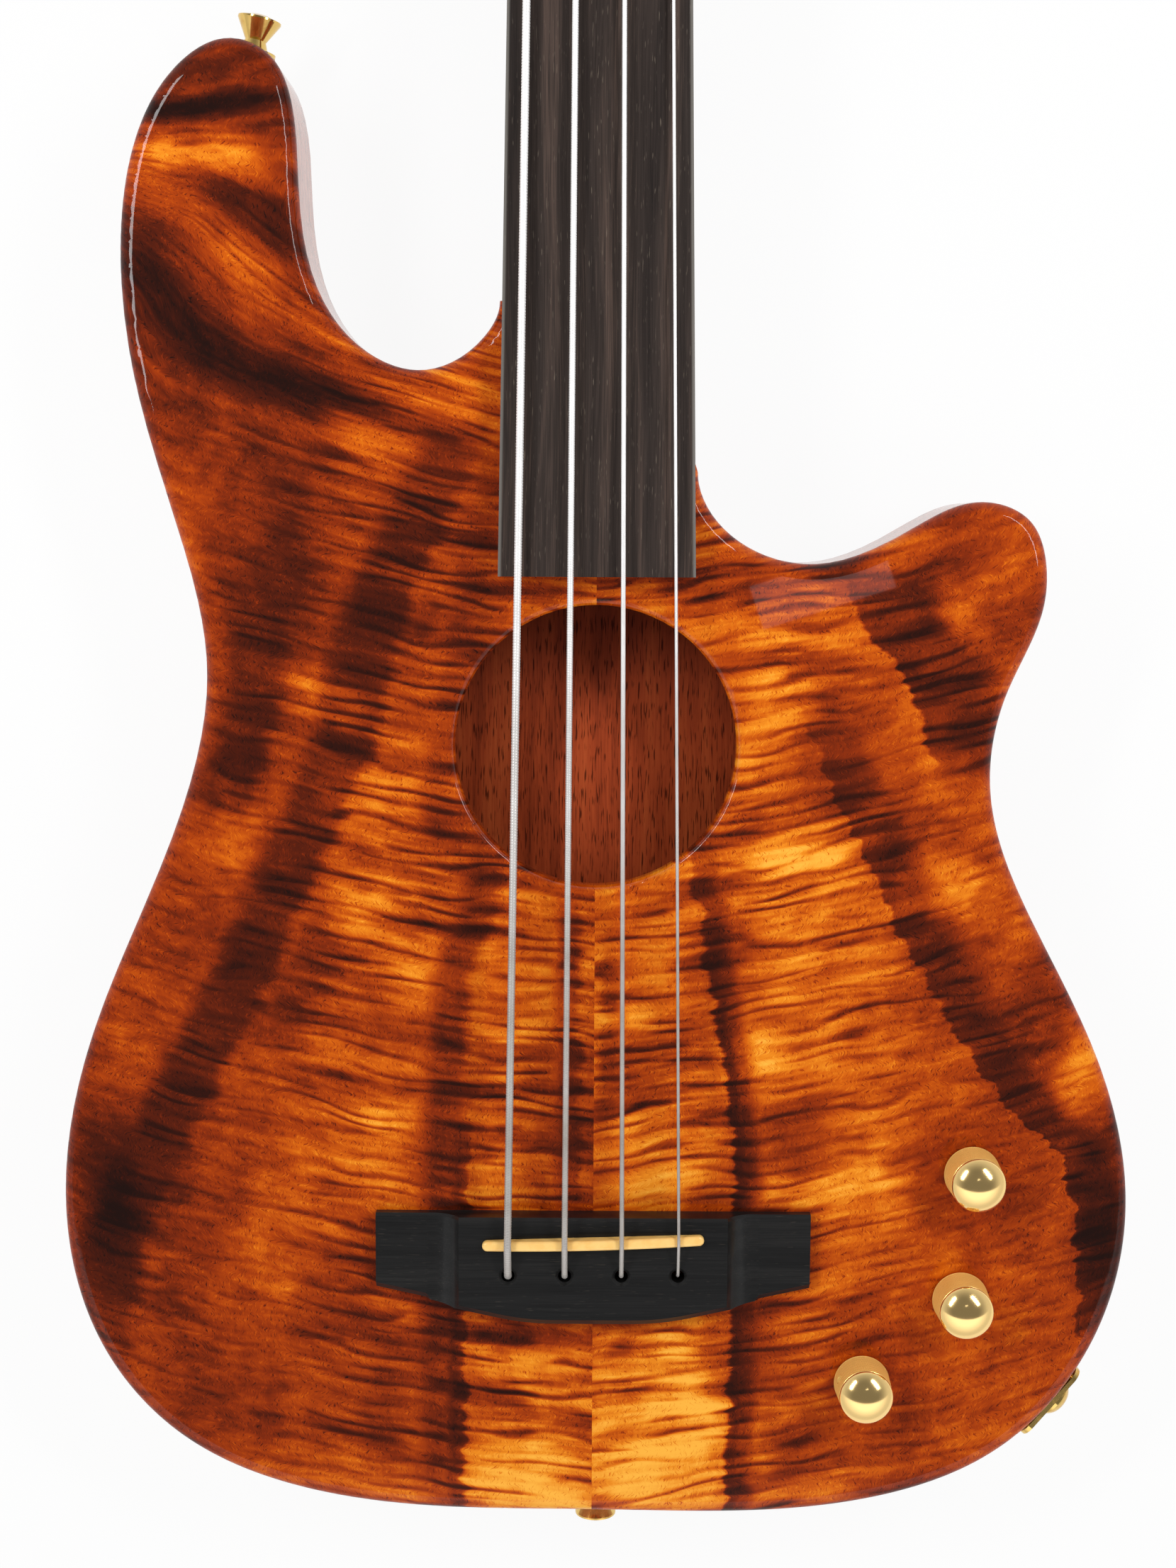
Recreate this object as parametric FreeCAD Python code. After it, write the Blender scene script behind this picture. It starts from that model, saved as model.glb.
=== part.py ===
import FreeCAD, Part
import math
import os

# A thin-bodied acoustic bass guitar. Lengths are in millimetres and angles in degrees.
# It lies on its back: +Z comes out of the top, +Y runs along the neck, +X is the treble
# side, and the origin is on the back face, on the centreline under the saddle.

V = FreeCAD.Vector
UP = V(0, 0, 1)
ALONG = V(0, 1, 0)
ACROSS = V(1, 0, 0)

# Body
body_width = 364.0
body_length = 497.0
body_depth = 50.0
tail_to_saddle = 0.202213 * body_length
top_thickness = 6.0
back_thickness = 9.0
rim_thickness = 16.0
front_round = 5.0
back_round = 8.0
neck_end_bulge = 12.0
overrun = 5.0
seat_gap = 0.1
running_gap = 0.05

# Body outline from the bass side of the neck, anticlockwise to its treble side:
# shares of the body's width from the centreline, and of its length from the tail
outline_shares = (
    (-0.0885, 0.8330),
    (-0.1016, 0.8109),
    (-0.1593, 0.7881),
    (-0.2239, 0.8089),
    (-0.2541, 0.8431),
    (-0.2692, 0.9105),
    (-0.2742, 0.9588),
    (-0.2940, 0.9901),
    (-0.3269, 1.0000),
    (-0.3805, 0.9789),
    (-0.4148, 0.9334),
    (-0.4286, 0.8722),
    (-0.4162, 0.7736),
    (-0.3810, 0.6811),
    (-0.3571, 0.5885),
    (-0.3736, 0.5141),
    (-0.4190, 0.4276),
    (-0.4670, 0.3431),
    (-0.4978, 0.2223),
    (-0.4648, 0.1169),
    (-0.3901, 0.0527),
    (-0.2706, 0.0143),
    (0.0000, 0.0000),
    (0.2692, 0.0101),
    (0.3816, 0.0429),
    (0.4725, 0.1205),
    (0.5027, 0.2223),
    (0.4657, 0.3350),
    (0.4066, 0.4205),
    (0.3648, 0.5080),
    (0.3777, 0.5765),
    (0.4085, 0.6328),
    (0.4099, 0.6630),
    (0.3942, 0.6911),
    (0.3492, 0.7034),
    (0.2827, 0.6835),
    (0.1956, 0.6616),
    (0.1264, 0.6781),
    (0.0975, 0.7032),
    (0.0915, 0.7213),
)

# Solid blocks left between the chambers
centre_block_width = 88.0
centre_block_reach = 0.20926 * body_length
neck_block_width = 116.0
neck_block_start = 0.45473 * body_length
block_corner = 14.0

# Sound hole
sound_hole_diameter = 94.0
sound_hole_reach = 0.33702 * body_length
sound_hole_round = 2.5

# Neck and fingerboard
scale_length = 863.6
board_gap = 0.4507 * body_length
nut_width = 44.5
board_end_width = 64.7
board_thickness = 6.0
board_radius = 305.0
board_rise = 4.0
neck_depth_nut = 15.0
neck_depth_heel = 17.0
tenon_width = 46.0
tenon_depth = 20.0
tenon_start = 0.47485 * body_length
heel_end = 0.64789 * body_length
heel_scoop = 30.0
scoop_shares = (0.0, 0.2, 0.4, 0.6, 0.8, 1.0)
scoop_depth_shares = (1.0, 0.92, 0.68, 0.36, 0.1, 0.0)
dot_radius = 1.2
dot_depth = 1.0
dot_below_top = 3.4

# Nut
nut_depth = 5.0
nut_rise = 1.9
nut_action = 0.8
nut_string_spread = 33.5

# Headstock, in its own tilted frame
head_tilt = 4.0
head_drop = 2.0
head_length = 168.0
head_width = 80.0
head_tip_width = 75.0
head_flare = 30.0
head_thickness = 14.0
head_corner = 13.0
head_peak = 6.0
head_peak_round = 60.0
veneer_thickness = 2.0

# Bridge and saddle
bridge_width = 148.0
bridge_block_width = 91.0
bridge_front = 8.2
bridge_end_rear = 18.0
bridge_belly = 29.3
bridge_belly_flat = 23.2
bridge_belly_round = 92.0
bridge_height = 9.0
wing_height = 4.0
wing_flat = 17.0
bridge_bevel = 2.0
bridge_edge = 0.9
saddle_length = 75.0
saddle_width = 3.5
saddle_slant = 1.8
saddle_rise = 4.3
saddle_sunk = 5.0
saddle_crown = 1.1
piezo_thickness = 1.0
piezo_width = 2.8

# Strings, lowest first: name, diameter, tuner side, and whether it goes to the far tuner
strings = (
    ("e", 2.67, -1, False),
    ("a", 2.16, -1, True),
    ("d", 1.65, 1, True),
    ("g", 1.14, 1, False),
)
bridge_string_spread = 57.6
string_hole_behind = 12.1
string_hole_radius = 2.2
string_countersink = 3.2
string_bend = 3.5
saddle_bend = 6.0
nut_bend = 10.0
string_sides = 8
string_lift = 0.4
slot_gap = 0.2
winding_quarters = 9
winding_space = 0.45
winding_gap = 0.35

# Ferrules and ball ends in the back
ferrule_radius = 4.5
ferrule_length = 10.0
ferrule_recess = 0.3
ferrule_lip = 3.0
ball_radius = 3.0
ball_length = 5.0

# Tuners, in a frame with its origin on the post at the face of the headstock's wood
post_inset = 13.0
near_post_reach = 58.0
far_post_reach = 122.0
post_radius = 6.5
post_waist = 4.8
post_waist_bottom = 3.2
post_waist_top = 17.0
post_top = 22.0
post_slot = 2.8
post_slot_depth = 7.0
post_end_chamfer = 1.0
post_journal = 3.6
post_head_radius = 4.2
post_head_height = 1.8
bushing_radius = 8.0
bushing_flange = 9.4
bushing_flange_height = 1.0
bushing_length = 7.0
plate_thickness = 2.0
plate_half_width = 12.5
plate_back = 11.0
plate_front = 22.0
plate_corner = 4.0
wheel_teeth = 20
wheel_pitch_radius = 7.0
wheel_tip_radius = 7.6
wheel_root_radius = 6.2
wheel_tooth_root = 1.15
wheel_tooth_tip = 0.55
wheel_thickness = 6.0
wheel_drop = 1.4
worm_pitch_radius = 3.0
worm_tip_radius = 3.55
worm_root_radius = 2.2
worm_thread_root = 1.1
worm_thread_tip = 0.55
worm_turns = 4
worm_sunk = 0.15
lug_inside = 9.0
lug_thickness = 2.5
lug_half_width = 4.5
lug_below_axis = 4.4
collar_radius = 3.4
collar_thickness = 1.3
collar_gap = 0.1
stem_radius = 3.2
stem_length = 6.0
key_thickness = 3.2
key_lobe = 7.5
key_lobe_spread = 8.0
key_lobe_reach = 25.0
key_tip_reach = 35.0
key_web = 5.0
tuner_screw_across = 9.8
tuner_screw_back = 7.6
tuner_screw_front = 18.6

# Truss rod, its nut and its cover
rod_radius = 2.5
rod_start = 0.52716 * body_length
rod_below_board = 5.5
rod_nut_radius = 3.5
rod_nut_length = 9.0
rod_nut_thread = 5.0
rod_nut_key = 2.0
rod_pocket_width = 11.0
rod_pocket_length = 22.0
rod_pocket_depth = 9.0
cover_back_width = 18.0
cover_tip_width = 12.0
cover_length = 34.0
cover_start = 1.5
cover_thickness = 2.0
cover_corner = 3.0
cover_screw_inset = 3.5

# Screws: the small one is for covers and plates, the others for the neck, straps and tuners
small_head = 2.7
small_head_height = 1.4
small_shank = 1.2
small_length = 11.0
tuner_head = 2.6
tuner_head_height = 1.4
tuner_shank = 1.1
tuner_length = 9.0
neck_head = 4.8
neck_head_height = 2.6
neck_shank = 2.4
neck_screw_length = 40.0
neck_screw_sunk = 0.8
neck_screw_across = 14.0
neck_screw_places = (0.499 * body_length, 0.55936 * body_length)
neck_bushing_radius = 7.5
neck_bushing_height = 5.7
neck_bushing_sunk = 0.3
neck_bushing_hole = 2.9

# Knobs and controls: shares of the body's width from the centreline and of its length from
# the tail, and the direction of the knob's grub screw
knob_shares = (
    ("volume", 0.3544, 0.24648, -60.0),
    ("bass", 0.34615, 0.15755, -60.0),
    ("treble", 0.25495, 0.09759, 158.0),
)
knob_base_radius = 9.6
knob_top_radius = 9.1
knob_side_height = 13.4
knob_height = 18.6
knob_floor_gap = 0.8
knob_recess_radius = 7.2
knob_recess_depth = 3.4
knob_bore_depth = 13.0
knob_groove = 0.3
knob_band = 0.9
grub_radius = 1.5
grub_length = 5.5
grub_rise = 7.0
pot_radius = 8.2
pot_height = 9.0
pot_web = 3.0
pot_bushing_radius = 3.9
pot_bushing_rise = 2.6
shaft_radius = 3.0
shaft_sunk = 5.0
pot_nut_radius = 6.0
pot_nut_height = 2.0
pot_margin = 20.0
control_corner = 12.0
control_wall = 8.0
lid_lip = 5.0
lid_thickness = 2.5
lid_sunk = 0.3
lid_corner = 10.0
lid_screw_margin = 18.8
battery_length = 48.5
battery_width = 26.5
battery_height = 17.5
battery_centre_x = 0.3544 * body_width
battery_centre_y = 0.00805 * body_length
board_to_pots = 1.9
board_width_x = 26.0
board_sheet = 1.6
board_spacer = 3.0
chip_size = 7.0
chip_height = 2.5

# Jack in the treble side of the tail
jack_x = 0.43901 * body_width
jack_y = 0.07706 * body_length - tail_to_saddle
jack_turn = -39.9
jack_from_top = 21.0
jack_plate_size = 30.0
jack_plate_thickness = 1.6
jack_plate_corner = 4.0
jack_plate_screws = 22.0
jack_land = 0.6
jack_hole_radius = 7.5
jack_body_radius = 6.8
jack_body_length = 25.0
jack_thread_radius = 4.7
jack_bore_radius = 3.2
jack_reach = 7.5
jack_bore_depth = 18.0
jack_cap_radius = 7.0
jack_cap_height = 7.0
jack_cap_dome = 2.4

# Strap buttons
strap_height = 12.0
strap_washer = 1.2
strap_washer_radius = 7.4
strap_foot_radius = 4.6
strap_waist_radius = 3.5
strap_waist_rise = 3.4
strap_rim_radius = 7.2
strap_rim_rise = 10.2
strap_seat = 0.8
strap_screw_head = 3.2
strap_screw_head_height = 2.2
strap_screw_shank = 1.7
strap_screw_length = 24.0
upper_strap_x = -0.31593 * body_width
upper_strap_y = 0.9994 * body_length - tail_to_saddle
upper_strap_turn = 78.0
lower_strap_x = 0.00412 * body_width
lower_strap_y = seat_gap - tail_to_saddle
lower_strap_turn = -90.0

# Pickup and jack leads
lead_radius = 0.6
lead_hole_radius = 2.4
lead_slot_radius = 1.1
lead_inset = 2.6
lead_bend = 3.6

core_top = body_depth - top_thickness
board_bottom = body_depth + board_rise
board_top = board_bottom + board_thickness
bridge_top = body_depth + bridge_height
saddle_top = bridge_top + saddle_rise
saddle_bottom = bridge_top - saddle_sunk
nut_rear = scale_length + nut_depth
cavity_top = core_top - pot_web
wheel_top = -head_thickness - plate_thickness - wheel_drop
lead_height = cavity_top - board_spacer - board_sheet / 2
worm_level = wheel_top - wheel_thickness / 2
worm_reach = wheel_pitch_radius + worm_pitch_radius
knob_places = tuple(
    (name, x * body_width, y * body_length - tail_to_saddle)
    for name, x, y, turn in knob_shares
)
board_length_y = knob_places[0][2] - knob_places[1][2] - 2 * (pot_radius + board_to_pots)


# Plain solids

def drum(radius, low, high, x=0, y=0):
    return Part.makeCylinder(radius, high - low, V(x, y, low))


def rod(radius, start, end):
    return Part.makeCylinder(radius, (end - start).Length, start, end - start)


def block(x0, x1, y0, y1, z0, z1):
    return Part.makeBox(x1 - x0, y1 - y0, z1 - z0, V(x0, y0, z0))


def slab(wire, low, high):
    face = Part.Face(wire)
    face.translate(V(0, 0, low))
    return face.extrude(V(0, 0, high - low))


def rounded(corners, radius):
    # A closed flat wire whose corners are tangent arcs.
    edges = []
    points = [V(x, y, 0) for x, y in corners]
    ends = []
    for i, corner in enumerate(points):
        back = (points[i - 1] - corner).normalize()
        ahead = (points[(i + 1) % len(points)] - corner).normalize()
        half = back.getAngle(ahead) / 2
        middle = (back + ahead).normalize()
        run = radius / math.tan(half)
        crest = corner + middle * (radius / math.sin(half) - radius)
        start = corner + back * run
        end = corner + ahead * run
        edges.append(Part.Arc(start, crest, end).toShape())
        ends.append((start, end))
    for i in range(len(points)):
        edges.append(Part.makeLine(ends[i - 1][1], ends[i][0]))
    return Part.Wire(Part.__sortEdges__(edges))


def section(points):
    # A closed wire in the XZ plane. A point with a third value is the middle of an arc.
    edges = []
    count = len(points)
    spots = [V(p[0], 0, p[1]) for p in points]
    for i in range(count):
        here = points[i]
        after = points[(i + 1) % count]
        if len(here) == 3:
            continue
        if len(after) == 3:
            arc = Part.Arc(spots[i], spots[(i + 1) % count], spots[(i + 2) % count])
            edges.append(arc.toShape())
        else:
            edges.append(Part.makeLine(spots[i], spots[(i + 1) % count]))
    return Part.Wire(edges)


def turned(points):
    return Part.Face(section(points)).revolve(V(0, 0, 0), UP, 360)


def placed(shape, placement):
    moved = shape.copy()
    moved.Placement = placement.multiply(moved.Placement)
    return moved


def aimed(shape, base, axis):
    return placed(shape, FreeCAD.Placement(base, FreeCAD.Rotation(UP, axis)))


def group(solids):
    return Part.makeCompound(list(solids))


def arch(top, start, end):
    # A long barrel of the fingerboard's radius, its seam underneath.
    centre = V(0, start, top - board_radius)
    barrel = Part.makeCylinder(board_radius, end - start, centre, ALONG)
    barrel.rotate(centre, ALONG, 180)
    return barrel


def crown(x, radius):
    return radius - math.sqrt(radius * radius - x * x)


def edges_where(shape, test):
    return [edge for edge in shape.Edges if test(edge)]


def lies_at(edge, z):
    box = edge.BoundBox
    return abs(box.ZMin - z) < seat_gap and abs(box.ZMax - z) < seat_gap


def rim(shape, z):
    return edges_where(shape, lambda e: lies_at(e, z) and e.Length > body_width * 2)


# Tubes along arcs and straight runs

def corner_path(points, radii):
    # Straight runs whose inner corners are arcs of the given radii.
    edges = []
    last = points[0]
    for i in range(1, len(points) - 1):
        corner = points[i]
        back = (points[i - 1] - corner).normalize()
        ahead = (points[i + 1] - corner).normalize()
        half = back.getAngle(ahead) / 2
        run = radii[i - 1] / math.tan(half)
        middle = (back + ahead).normalize()
        crest = corner + middle * (radii[i - 1] / math.sin(half) - radii[i - 1])
        start = corner + back * run
        end = corner + ahead * run
        edges.append(Part.makeLine(last, start))
        edges.append(Part.Arc(start, crest, end).toShape())
        last = end
    edges.append(Part.makeLine(last, points[-1]))
    return edges


def tangent_arc(start, tangent, end):
    chord = end - start
    side = tangent - chord * (tangent.dot(chord) / chord.dot(chord))
    angle = tangent.getAngle(chord)
    middle = start + chord / 2 + side.normalize() * (chord.Length / 2 * math.tan(angle / 2))
    return Part.Arc(start, middle, end).toShape()


def biarc(start, start_tangent, end, end_tangent):
    # Two arcs that leave and arrive along the given tangents and share theirs where they meet.
    chord = end - start
    both = start_tangent + end_tangent
    spread = 2 * (1 - start_tangent.dot(end_tangent))
    along = chord.dot(both)
    reach = (-along + math.sqrt(along * along + spread * chord.dot(chord))) / spread
    meet = (start + end + (start_tangent - end_tangent) * reach) / 2
    first = tangent_arc(start, start_tangent, meet)
    second = tangent_arc(end, end_tangent * -1, meet)
    return [first, second]


def swept(edges, radius, sides=0):
    # A tube round a path of edges; with sides given its section is a regular polygon.
    path = Part.Wire(Part.__sortEdges__(edges))
    start = path.OrderedEdges[0]
    base = start.valueAt(start.FirstParameter)
    tangent = start.tangentAt(start.FirstParameter)
    if sides:
        turn = 2 * math.pi / sides
        ring = [V(radius * math.cos(turn * i), radius * math.sin(turn * i), 0) for i in range(sides)]
        wire = Part.makePolygon(ring + [ring[0]])
    else:
        wire = Part.Wire(Part.Circle(V(0, 0, 0), UP, radius).toShape())
    wire = aimed(wire, base, tangent)
    shell = Part.BRepOffsetAPI.MakePipeShell(path)
    shell.add(wire)
    shell.build()
    shell.makeSolid()
    return shell.shape()


# Frames of the headstock and of the four tuners

head_frame = FreeCAD.Placement(
    V(0, nut_rear, board_bottom - head_drop),
    FreeCAD.Rotation(ACROSS, -head_tilt),
)
head_width_at_posts = head_width / 2 - post_inset


def tuner_spot(side, far):
    reach = far_post_reach if far else near_post_reach
    return V(side * head_width_at_posts, reach, 0)


def on_tuner(shape, side, far):
    # Shapes are drawn for the treble side and mirrored for the bass side.
    drawn = shape if side > 0 else shape.mirror(V(0, 0, 0), ACROSS)
    spot = FreeCAD.Placement(tuner_spot(side, far), FreeCAD.Rotation())
    return placed(drawn, head_frame.multiply(spot))


def string_places():
    count = len(strings)
    for i, (name, diameter, side, far) in enumerate(strings):
        share = i / (count - 1) - 1 / 2
        yield name, diameter / 2, side, far, share * bridge_string_spread, share * nut_string_spread


def neck_width(y):
    share = (y - board_gap) / (scale_length - board_gap)
    return board_end_width + (nut_width - board_end_width) * share


# Body core, top and their cut-outs

def outline_curve():
    points = [
        V(x * body_width, y * body_length - tail_to_saddle, 0)
        for x, y in outline_shares
    ]
    curve = Part.BSplineCurve()
    curve.interpolate(Points=points, InitialTangent=ALONG * -1, FinalTangent=ALONG, Scale=False)
    return points, curve


def neck_end(points):
    # The body's edge under the neck bulges out between the two ends of the outline.
    chord = points[0] - points[-1]
    out = V(chord.y, -chord.x, 0).normalize()
    crest = points[-1] + chord / 2 + out * neck_end_bulge
    return Part.Arc(points[-1], crest, points[0]).toShape()


def body_outline():
    points, curve = outline_curve()
    return Part.Wire([curve.toShape(), neck_end(points)])


def chamber_outline():
    # The same outline in tangent arcs, moved in by the thickness of the rim.
    points, curve = outline_curve()
    tangents = [curve.tangent(curve.parameter(point))[0] for point in points]
    edges = []
    for i in range(1, len(points)):
        edges += biarc(points[i - 1], tangents[i - 1], points[i], tangents[i])
    edges.append(neck_end(points))
    return Part.Face(Part.Wire(edges)).makeOffset2D(-rim_thickness).OuterWire


def control_corners(margin):
    (_, ax, ay), (_, bx, by), (_, cx, cy) = knob_places
    return (
        (ax - margin, ay + margin),
        (ax + margin, ay + margin),
        (bx + margin, by - margin),
        (cx + margin, cy - margin),
        (cx - margin, cy - margin),
        (cx - margin, cy + margin),
        (bx - margin, cy + margin),
    )


def chambers():
    room = slab(chamber_outline(), back_thickness, core_top + overrun)
    half = centre_block_width / 2
    below = -tail_to_saddle - overrun
    centre = ((-half, below), (half, below), (half, centre_block_reach), (-half, centre_block_reach))
    wide = neck_block_width / 2
    above = body_length - tail_to_saddle
    neck = ((-wide, neck_block_start), (wide, neck_block_start), (wide, above), (-wide, above))
    control = control_corners(pot_margin + control_wall)
    solid_parts = [
        slab(rounded(corners, block_corner), 0, body_depth)
        for corners in (centre, neck, control)
    ]
    return room.cut(solid_parts)


def pocket():
    half = tenon_width / 2 + seat_gap
    floor = body_depth - tenon_depth
    return block(-half, half, tenon_start - seat_gap, body_length, floor, body_depth + overrun)


def string_bores(radius, low, high):
    return [
        drum(radius, low, high, x, -string_hole_behind)
        for _, _, _, _, x, _ in string_places()
    ]


def neck_screw_spots():
    return [
        (side * neck_screw_across, y)
        for y in neck_screw_places
        for side in (-1, 1)
    ]


def jack_frame():
    # +Z of this frame points out of the side, and its origin is on the side's surface.
    turn = math.radians(jack_turn)
    out = V(math.cos(turn), math.sin(turn), 0)
    turned_up = FreeCAD.Rotation(V(-out.y, out.x, 0), UP, out, "ZYX")
    return FreeCAD.Placement(V(jack_x, jack_y, body_depth - jack_from_top), turned_up)


def jack_screw_spots():
    half = jack_plate_screws / 2
    return [V(x, y, jack_plate_thickness - jack_land) for x in (-half, half) for y in (-half, half)]


def strap_frame(x, y, turn):
    angle = math.radians(turn)
    out = V(math.cos(angle), math.sin(angle), 0)
    return FreeCAD.Placement(V(x, y, body_depth / 2), FreeCAD.Rotation(UP, out))


strap_frames = (
    ("upper", strap_frame(upper_strap_x, upper_strap_y, upper_strap_turn)),
    ("lower", strap_frame(lower_strap_x, lower_strap_y, lower_strap_turn)),
)


def lead_start():
    angle = math.radians(saddle_slant)
    reach = saddle_length / 2 - lead_inset
    return V(reach * math.cos(angle), reach * math.sin(angle), saddle_bottom)


def lead_bores():
    start = lead_start()
    end = V(knob_places[0][1] - pot_margin, start.y, lead_height)
    corner = V(start.x, start.y, lead_height)
    low = V(start.x, start.y, lead_height - lead_hole_radius)
    high = V(start.x, start.y, body_depth)
    return [rod(lead_hole_radius, low, high), rod(lead_hole_radius, corner, end)]


def lid_screw_spots():
    corners = control_corners(lid_screw_margin)
    return [corners[0], corners[1], corners[4], corners[5]]


def build_core():
    core = slab(body_outline(), 0, core_top)
    core = core.makeFillet(back_round, rim(core, 0))
    cuts = [chambers(), pocket()]
    cavity = rounded(control_corners(pot_margin), control_corner)
    cuts.append(slab(cavity, lid_sunk + lid_thickness, cavity_top))
    lid_space = control_corners(pot_margin + lid_lip + seat_gap)
    cuts.append(slab(rounded(lid_space, lid_corner), -overrun, lid_sunk + lid_thickness))
    for x, y in lid_screw_spots():
        cuts.append(drum(small_shank + running_gap, 0, lid_sunk + small_length + overrun, x, y))
    for _, x, y in knob_places:
        cuts.append(drum(pot_bushing_radius + seat_gap, cavity_top - overrun, body_depth, x, y))
    for x, y in neck_screw_spots():
        deep = neck_bushing_sunk + neck_bushing_height
        cuts.append(drum(neck_bushing_radius + seat_gap, -overrun, deep, x, y))
        cuts.append(drum(neck_bushing_hole, 0, body_depth, x, y))
    cuts += string_bores(ferrule_radius + seat_gap, -overrun, ferrule_recess + ferrule_length)
    cuts += string_bores(string_hole_radius, 0, body_depth)
    cuts += lead_bores()
    side = jack_frame()
    land = jack_plate_size / 2 + seat_gap
    cuts.append(placed(block(-land, land, -land, land, -jack_land, jack_body_length), side))
    cuts.append(placed(drum(jack_hole_radius, -jack_body_length - overrun, overrun), side))
    for spot in jack_screw_spots():
        cuts.append(placed(drum(small_shank + running_gap, -small_length, overrun, spot.x, spot.y), side))
    for _, frame in strap_frames:
        cuts.append(placed(drum(strap_washer_radius + seat_gap, -strap_seat, strap_height), frame))
        depth = strap_screw_length + strap_seat
        cuts.append(placed(drum(strap_screw_shank + running_gap, -depth, overrun), frame))
    return core.cut(cuts)


def sound_hole():
    radius = sound_hole_diameter / 2
    lip = sound_hole_round
    level = body_depth - lip
    slope = lip - lip / math.sqrt(2)
    bore = turned((
        (0, 0), (radius, 0), (radius, level), (radius + slope, body_depth - slope, 1),
        (radius + lip, body_depth), (radius + lip, body_depth + overrun), (0, body_depth + overrun),
    ))
    bore.translate(V(0, sound_hole_reach, 0))
    return bore


def build_top_halves():
    top = slab(body_outline(), core_top, body_depth)
    top = top.makeFillet(front_round, rim(top, body_depth))
    cuts = [pocket(), sound_hole()]
    for _, x, y in knob_places:
        cuts.append(drum(pot_bushing_radius + seat_gap, 0, body_depth + overrun, x, y))
    cuts += string_bores(string_hole_radius, 0, body_depth + overrun)
    start = lead_start()
    cuts.append(drum(lead_hole_radius, 0, body_depth + overrun, start.x, start.y))
    top = top.cut(cuts)
    side = block(0, body_width, -body_length, body_length, 0, body_depth + overrun)
    return top.cut(side), top.common(side)


# Bridge, saddle and pickup strip

def build_bridge():
    half = bridge_width / 2
    rear = [
        V(half, -bridge_end_rear, 0), V(bridge_belly_flat, -bridge_belly, 0),
        V(-bridge_belly_flat, -bridge_belly, 0), V(-half, -bridge_end_rear, 0),
    ]
    left = V(-half, bridge_front, 0)
    right = V(half, bridge_front, 0)
    outline = corner_path(rear, (bridge_belly_round, bridge_belly_round))
    outline += [Part.makeLine(rear[-1], left), Part.makeLine(left, right), Part.makeLine(right, rear[0])]
    plan = slab(Part.Wire(Part.__sortEdges__(outline)), body_depth, bridge_top)
    inner = bridge_block_width / 2
    outer = half - wing_flat
    low = body_depth
    knee = body_depth + wing_height
    third = (outer - inner) / 3
    scoop = (bridge_height - wing_height) / 4
    deep_low = low - overrun
    side = section((
        (-half - overrun, deep_low), (half + overrun, deep_low), (half + overrun, knee), (outer, knee),
        (inner + third, knee + scoop, 1), (inner, bridge_top), (-inner, bridge_top),
        (-inner - third, knee + scoop, 1), (-outer, knee), (-half - overrun, knee),
    ))
    face = Part.Face(side)
    face.translate(V(0, bridge_front + overrun, 0))
    deep = bridge_front + bridge_belly + overrun
    bridge = plan.common(face.extrude(V(0, -deep - overrun, 0)))
    behind = -bridge_end_rear + seat_gap

    def is_rear_top(edge):
        box = edge.BoundBox
        return box.YMax < behind and box.ZMin > knee - seat_gap and box.XLength > overrun

    bridge = bridge.makeChamfer(bridge_bevel, edges_where(bridge, is_rear_top))
    face.translate(V(0, -overrun, -bridge_edge))
    front_bevel = face.extrude(V(0, -bridge_edge, bridge_edge))
    face.translate(V(0, -bridge_edge, bridge_edge))
    bridge = bridge.common(face.extrude(V(0, -deep, 0)).fuse([front_bevel]))
    cuts = string_bores(string_hole_radius, low - overrun, bridge_top + overrun)
    depth = string_countersink - string_hole_radius
    for _, _, _, _, x, _ in string_places():
        base = V(x, -string_hole_behind, bridge_top - depth)
        cuts.append(Part.makeCone(string_hole_radius, string_countersink, depth, base))
    length = saddle_length / 2 + seat_gap
    width = saddle_width / 2 + seat_gap
    cuts.append(slanted(slab(stadium(length, width), saddle_bottom - piezo_thickness, bridge_top + overrun)))
    start = lead_start()
    cuts.append(drum(lead_slot_radius, low - overrun, bridge_top, start.x, start.y))
    return bridge.cut(cuts)


def stadium(length, width):
    run = length - width
    return Part.Wire([
        Part.makeLine(V(-run, -width, 0), V(run, -width, 0)),
        Part.Arc(V(run, -width, 0), V(length, 0, 0), V(run, width, 0)).toShape(),
        Part.makeLine(V(run, width, 0), V(-run, width, 0)),
        Part.Arc(V(-run, width, 0), V(-length, 0, 0), V(-run, -width, 0)).toShape(),
    ])


def slanted(shape):
    return placed(shape, FreeCAD.Placement(V(0, 0, 0), FreeCAD.Rotation(UP, saddle_slant)))


def build_saddle():
    bar = slab(stadium(saddle_length / 2, saddle_width / 2), saddle_bottom, saddle_top + overrun)
    bar = bar.common(arch(saddle_top, -saddle_width, saddle_width))
    straight = edges_where(
        bar, lambda e: e.BoundBox.ZMin > bridge_top and e.BoundBox.XLength > saddle_length / 2)
    return slanted(bar.makeFillet(saddle_crown, straight))


def build_piezo():
    low = saddle_bottom - piezo_thickness
    strip = slab(stadium(saddle_length / 2, piezo_width / 2), low, saddle_bottom)
    start = lead_start()
    return slanted(strip).cut(drum(lead_radius + running_gap, 0, bridge_top, start.x, start.y))


# Neck

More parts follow.
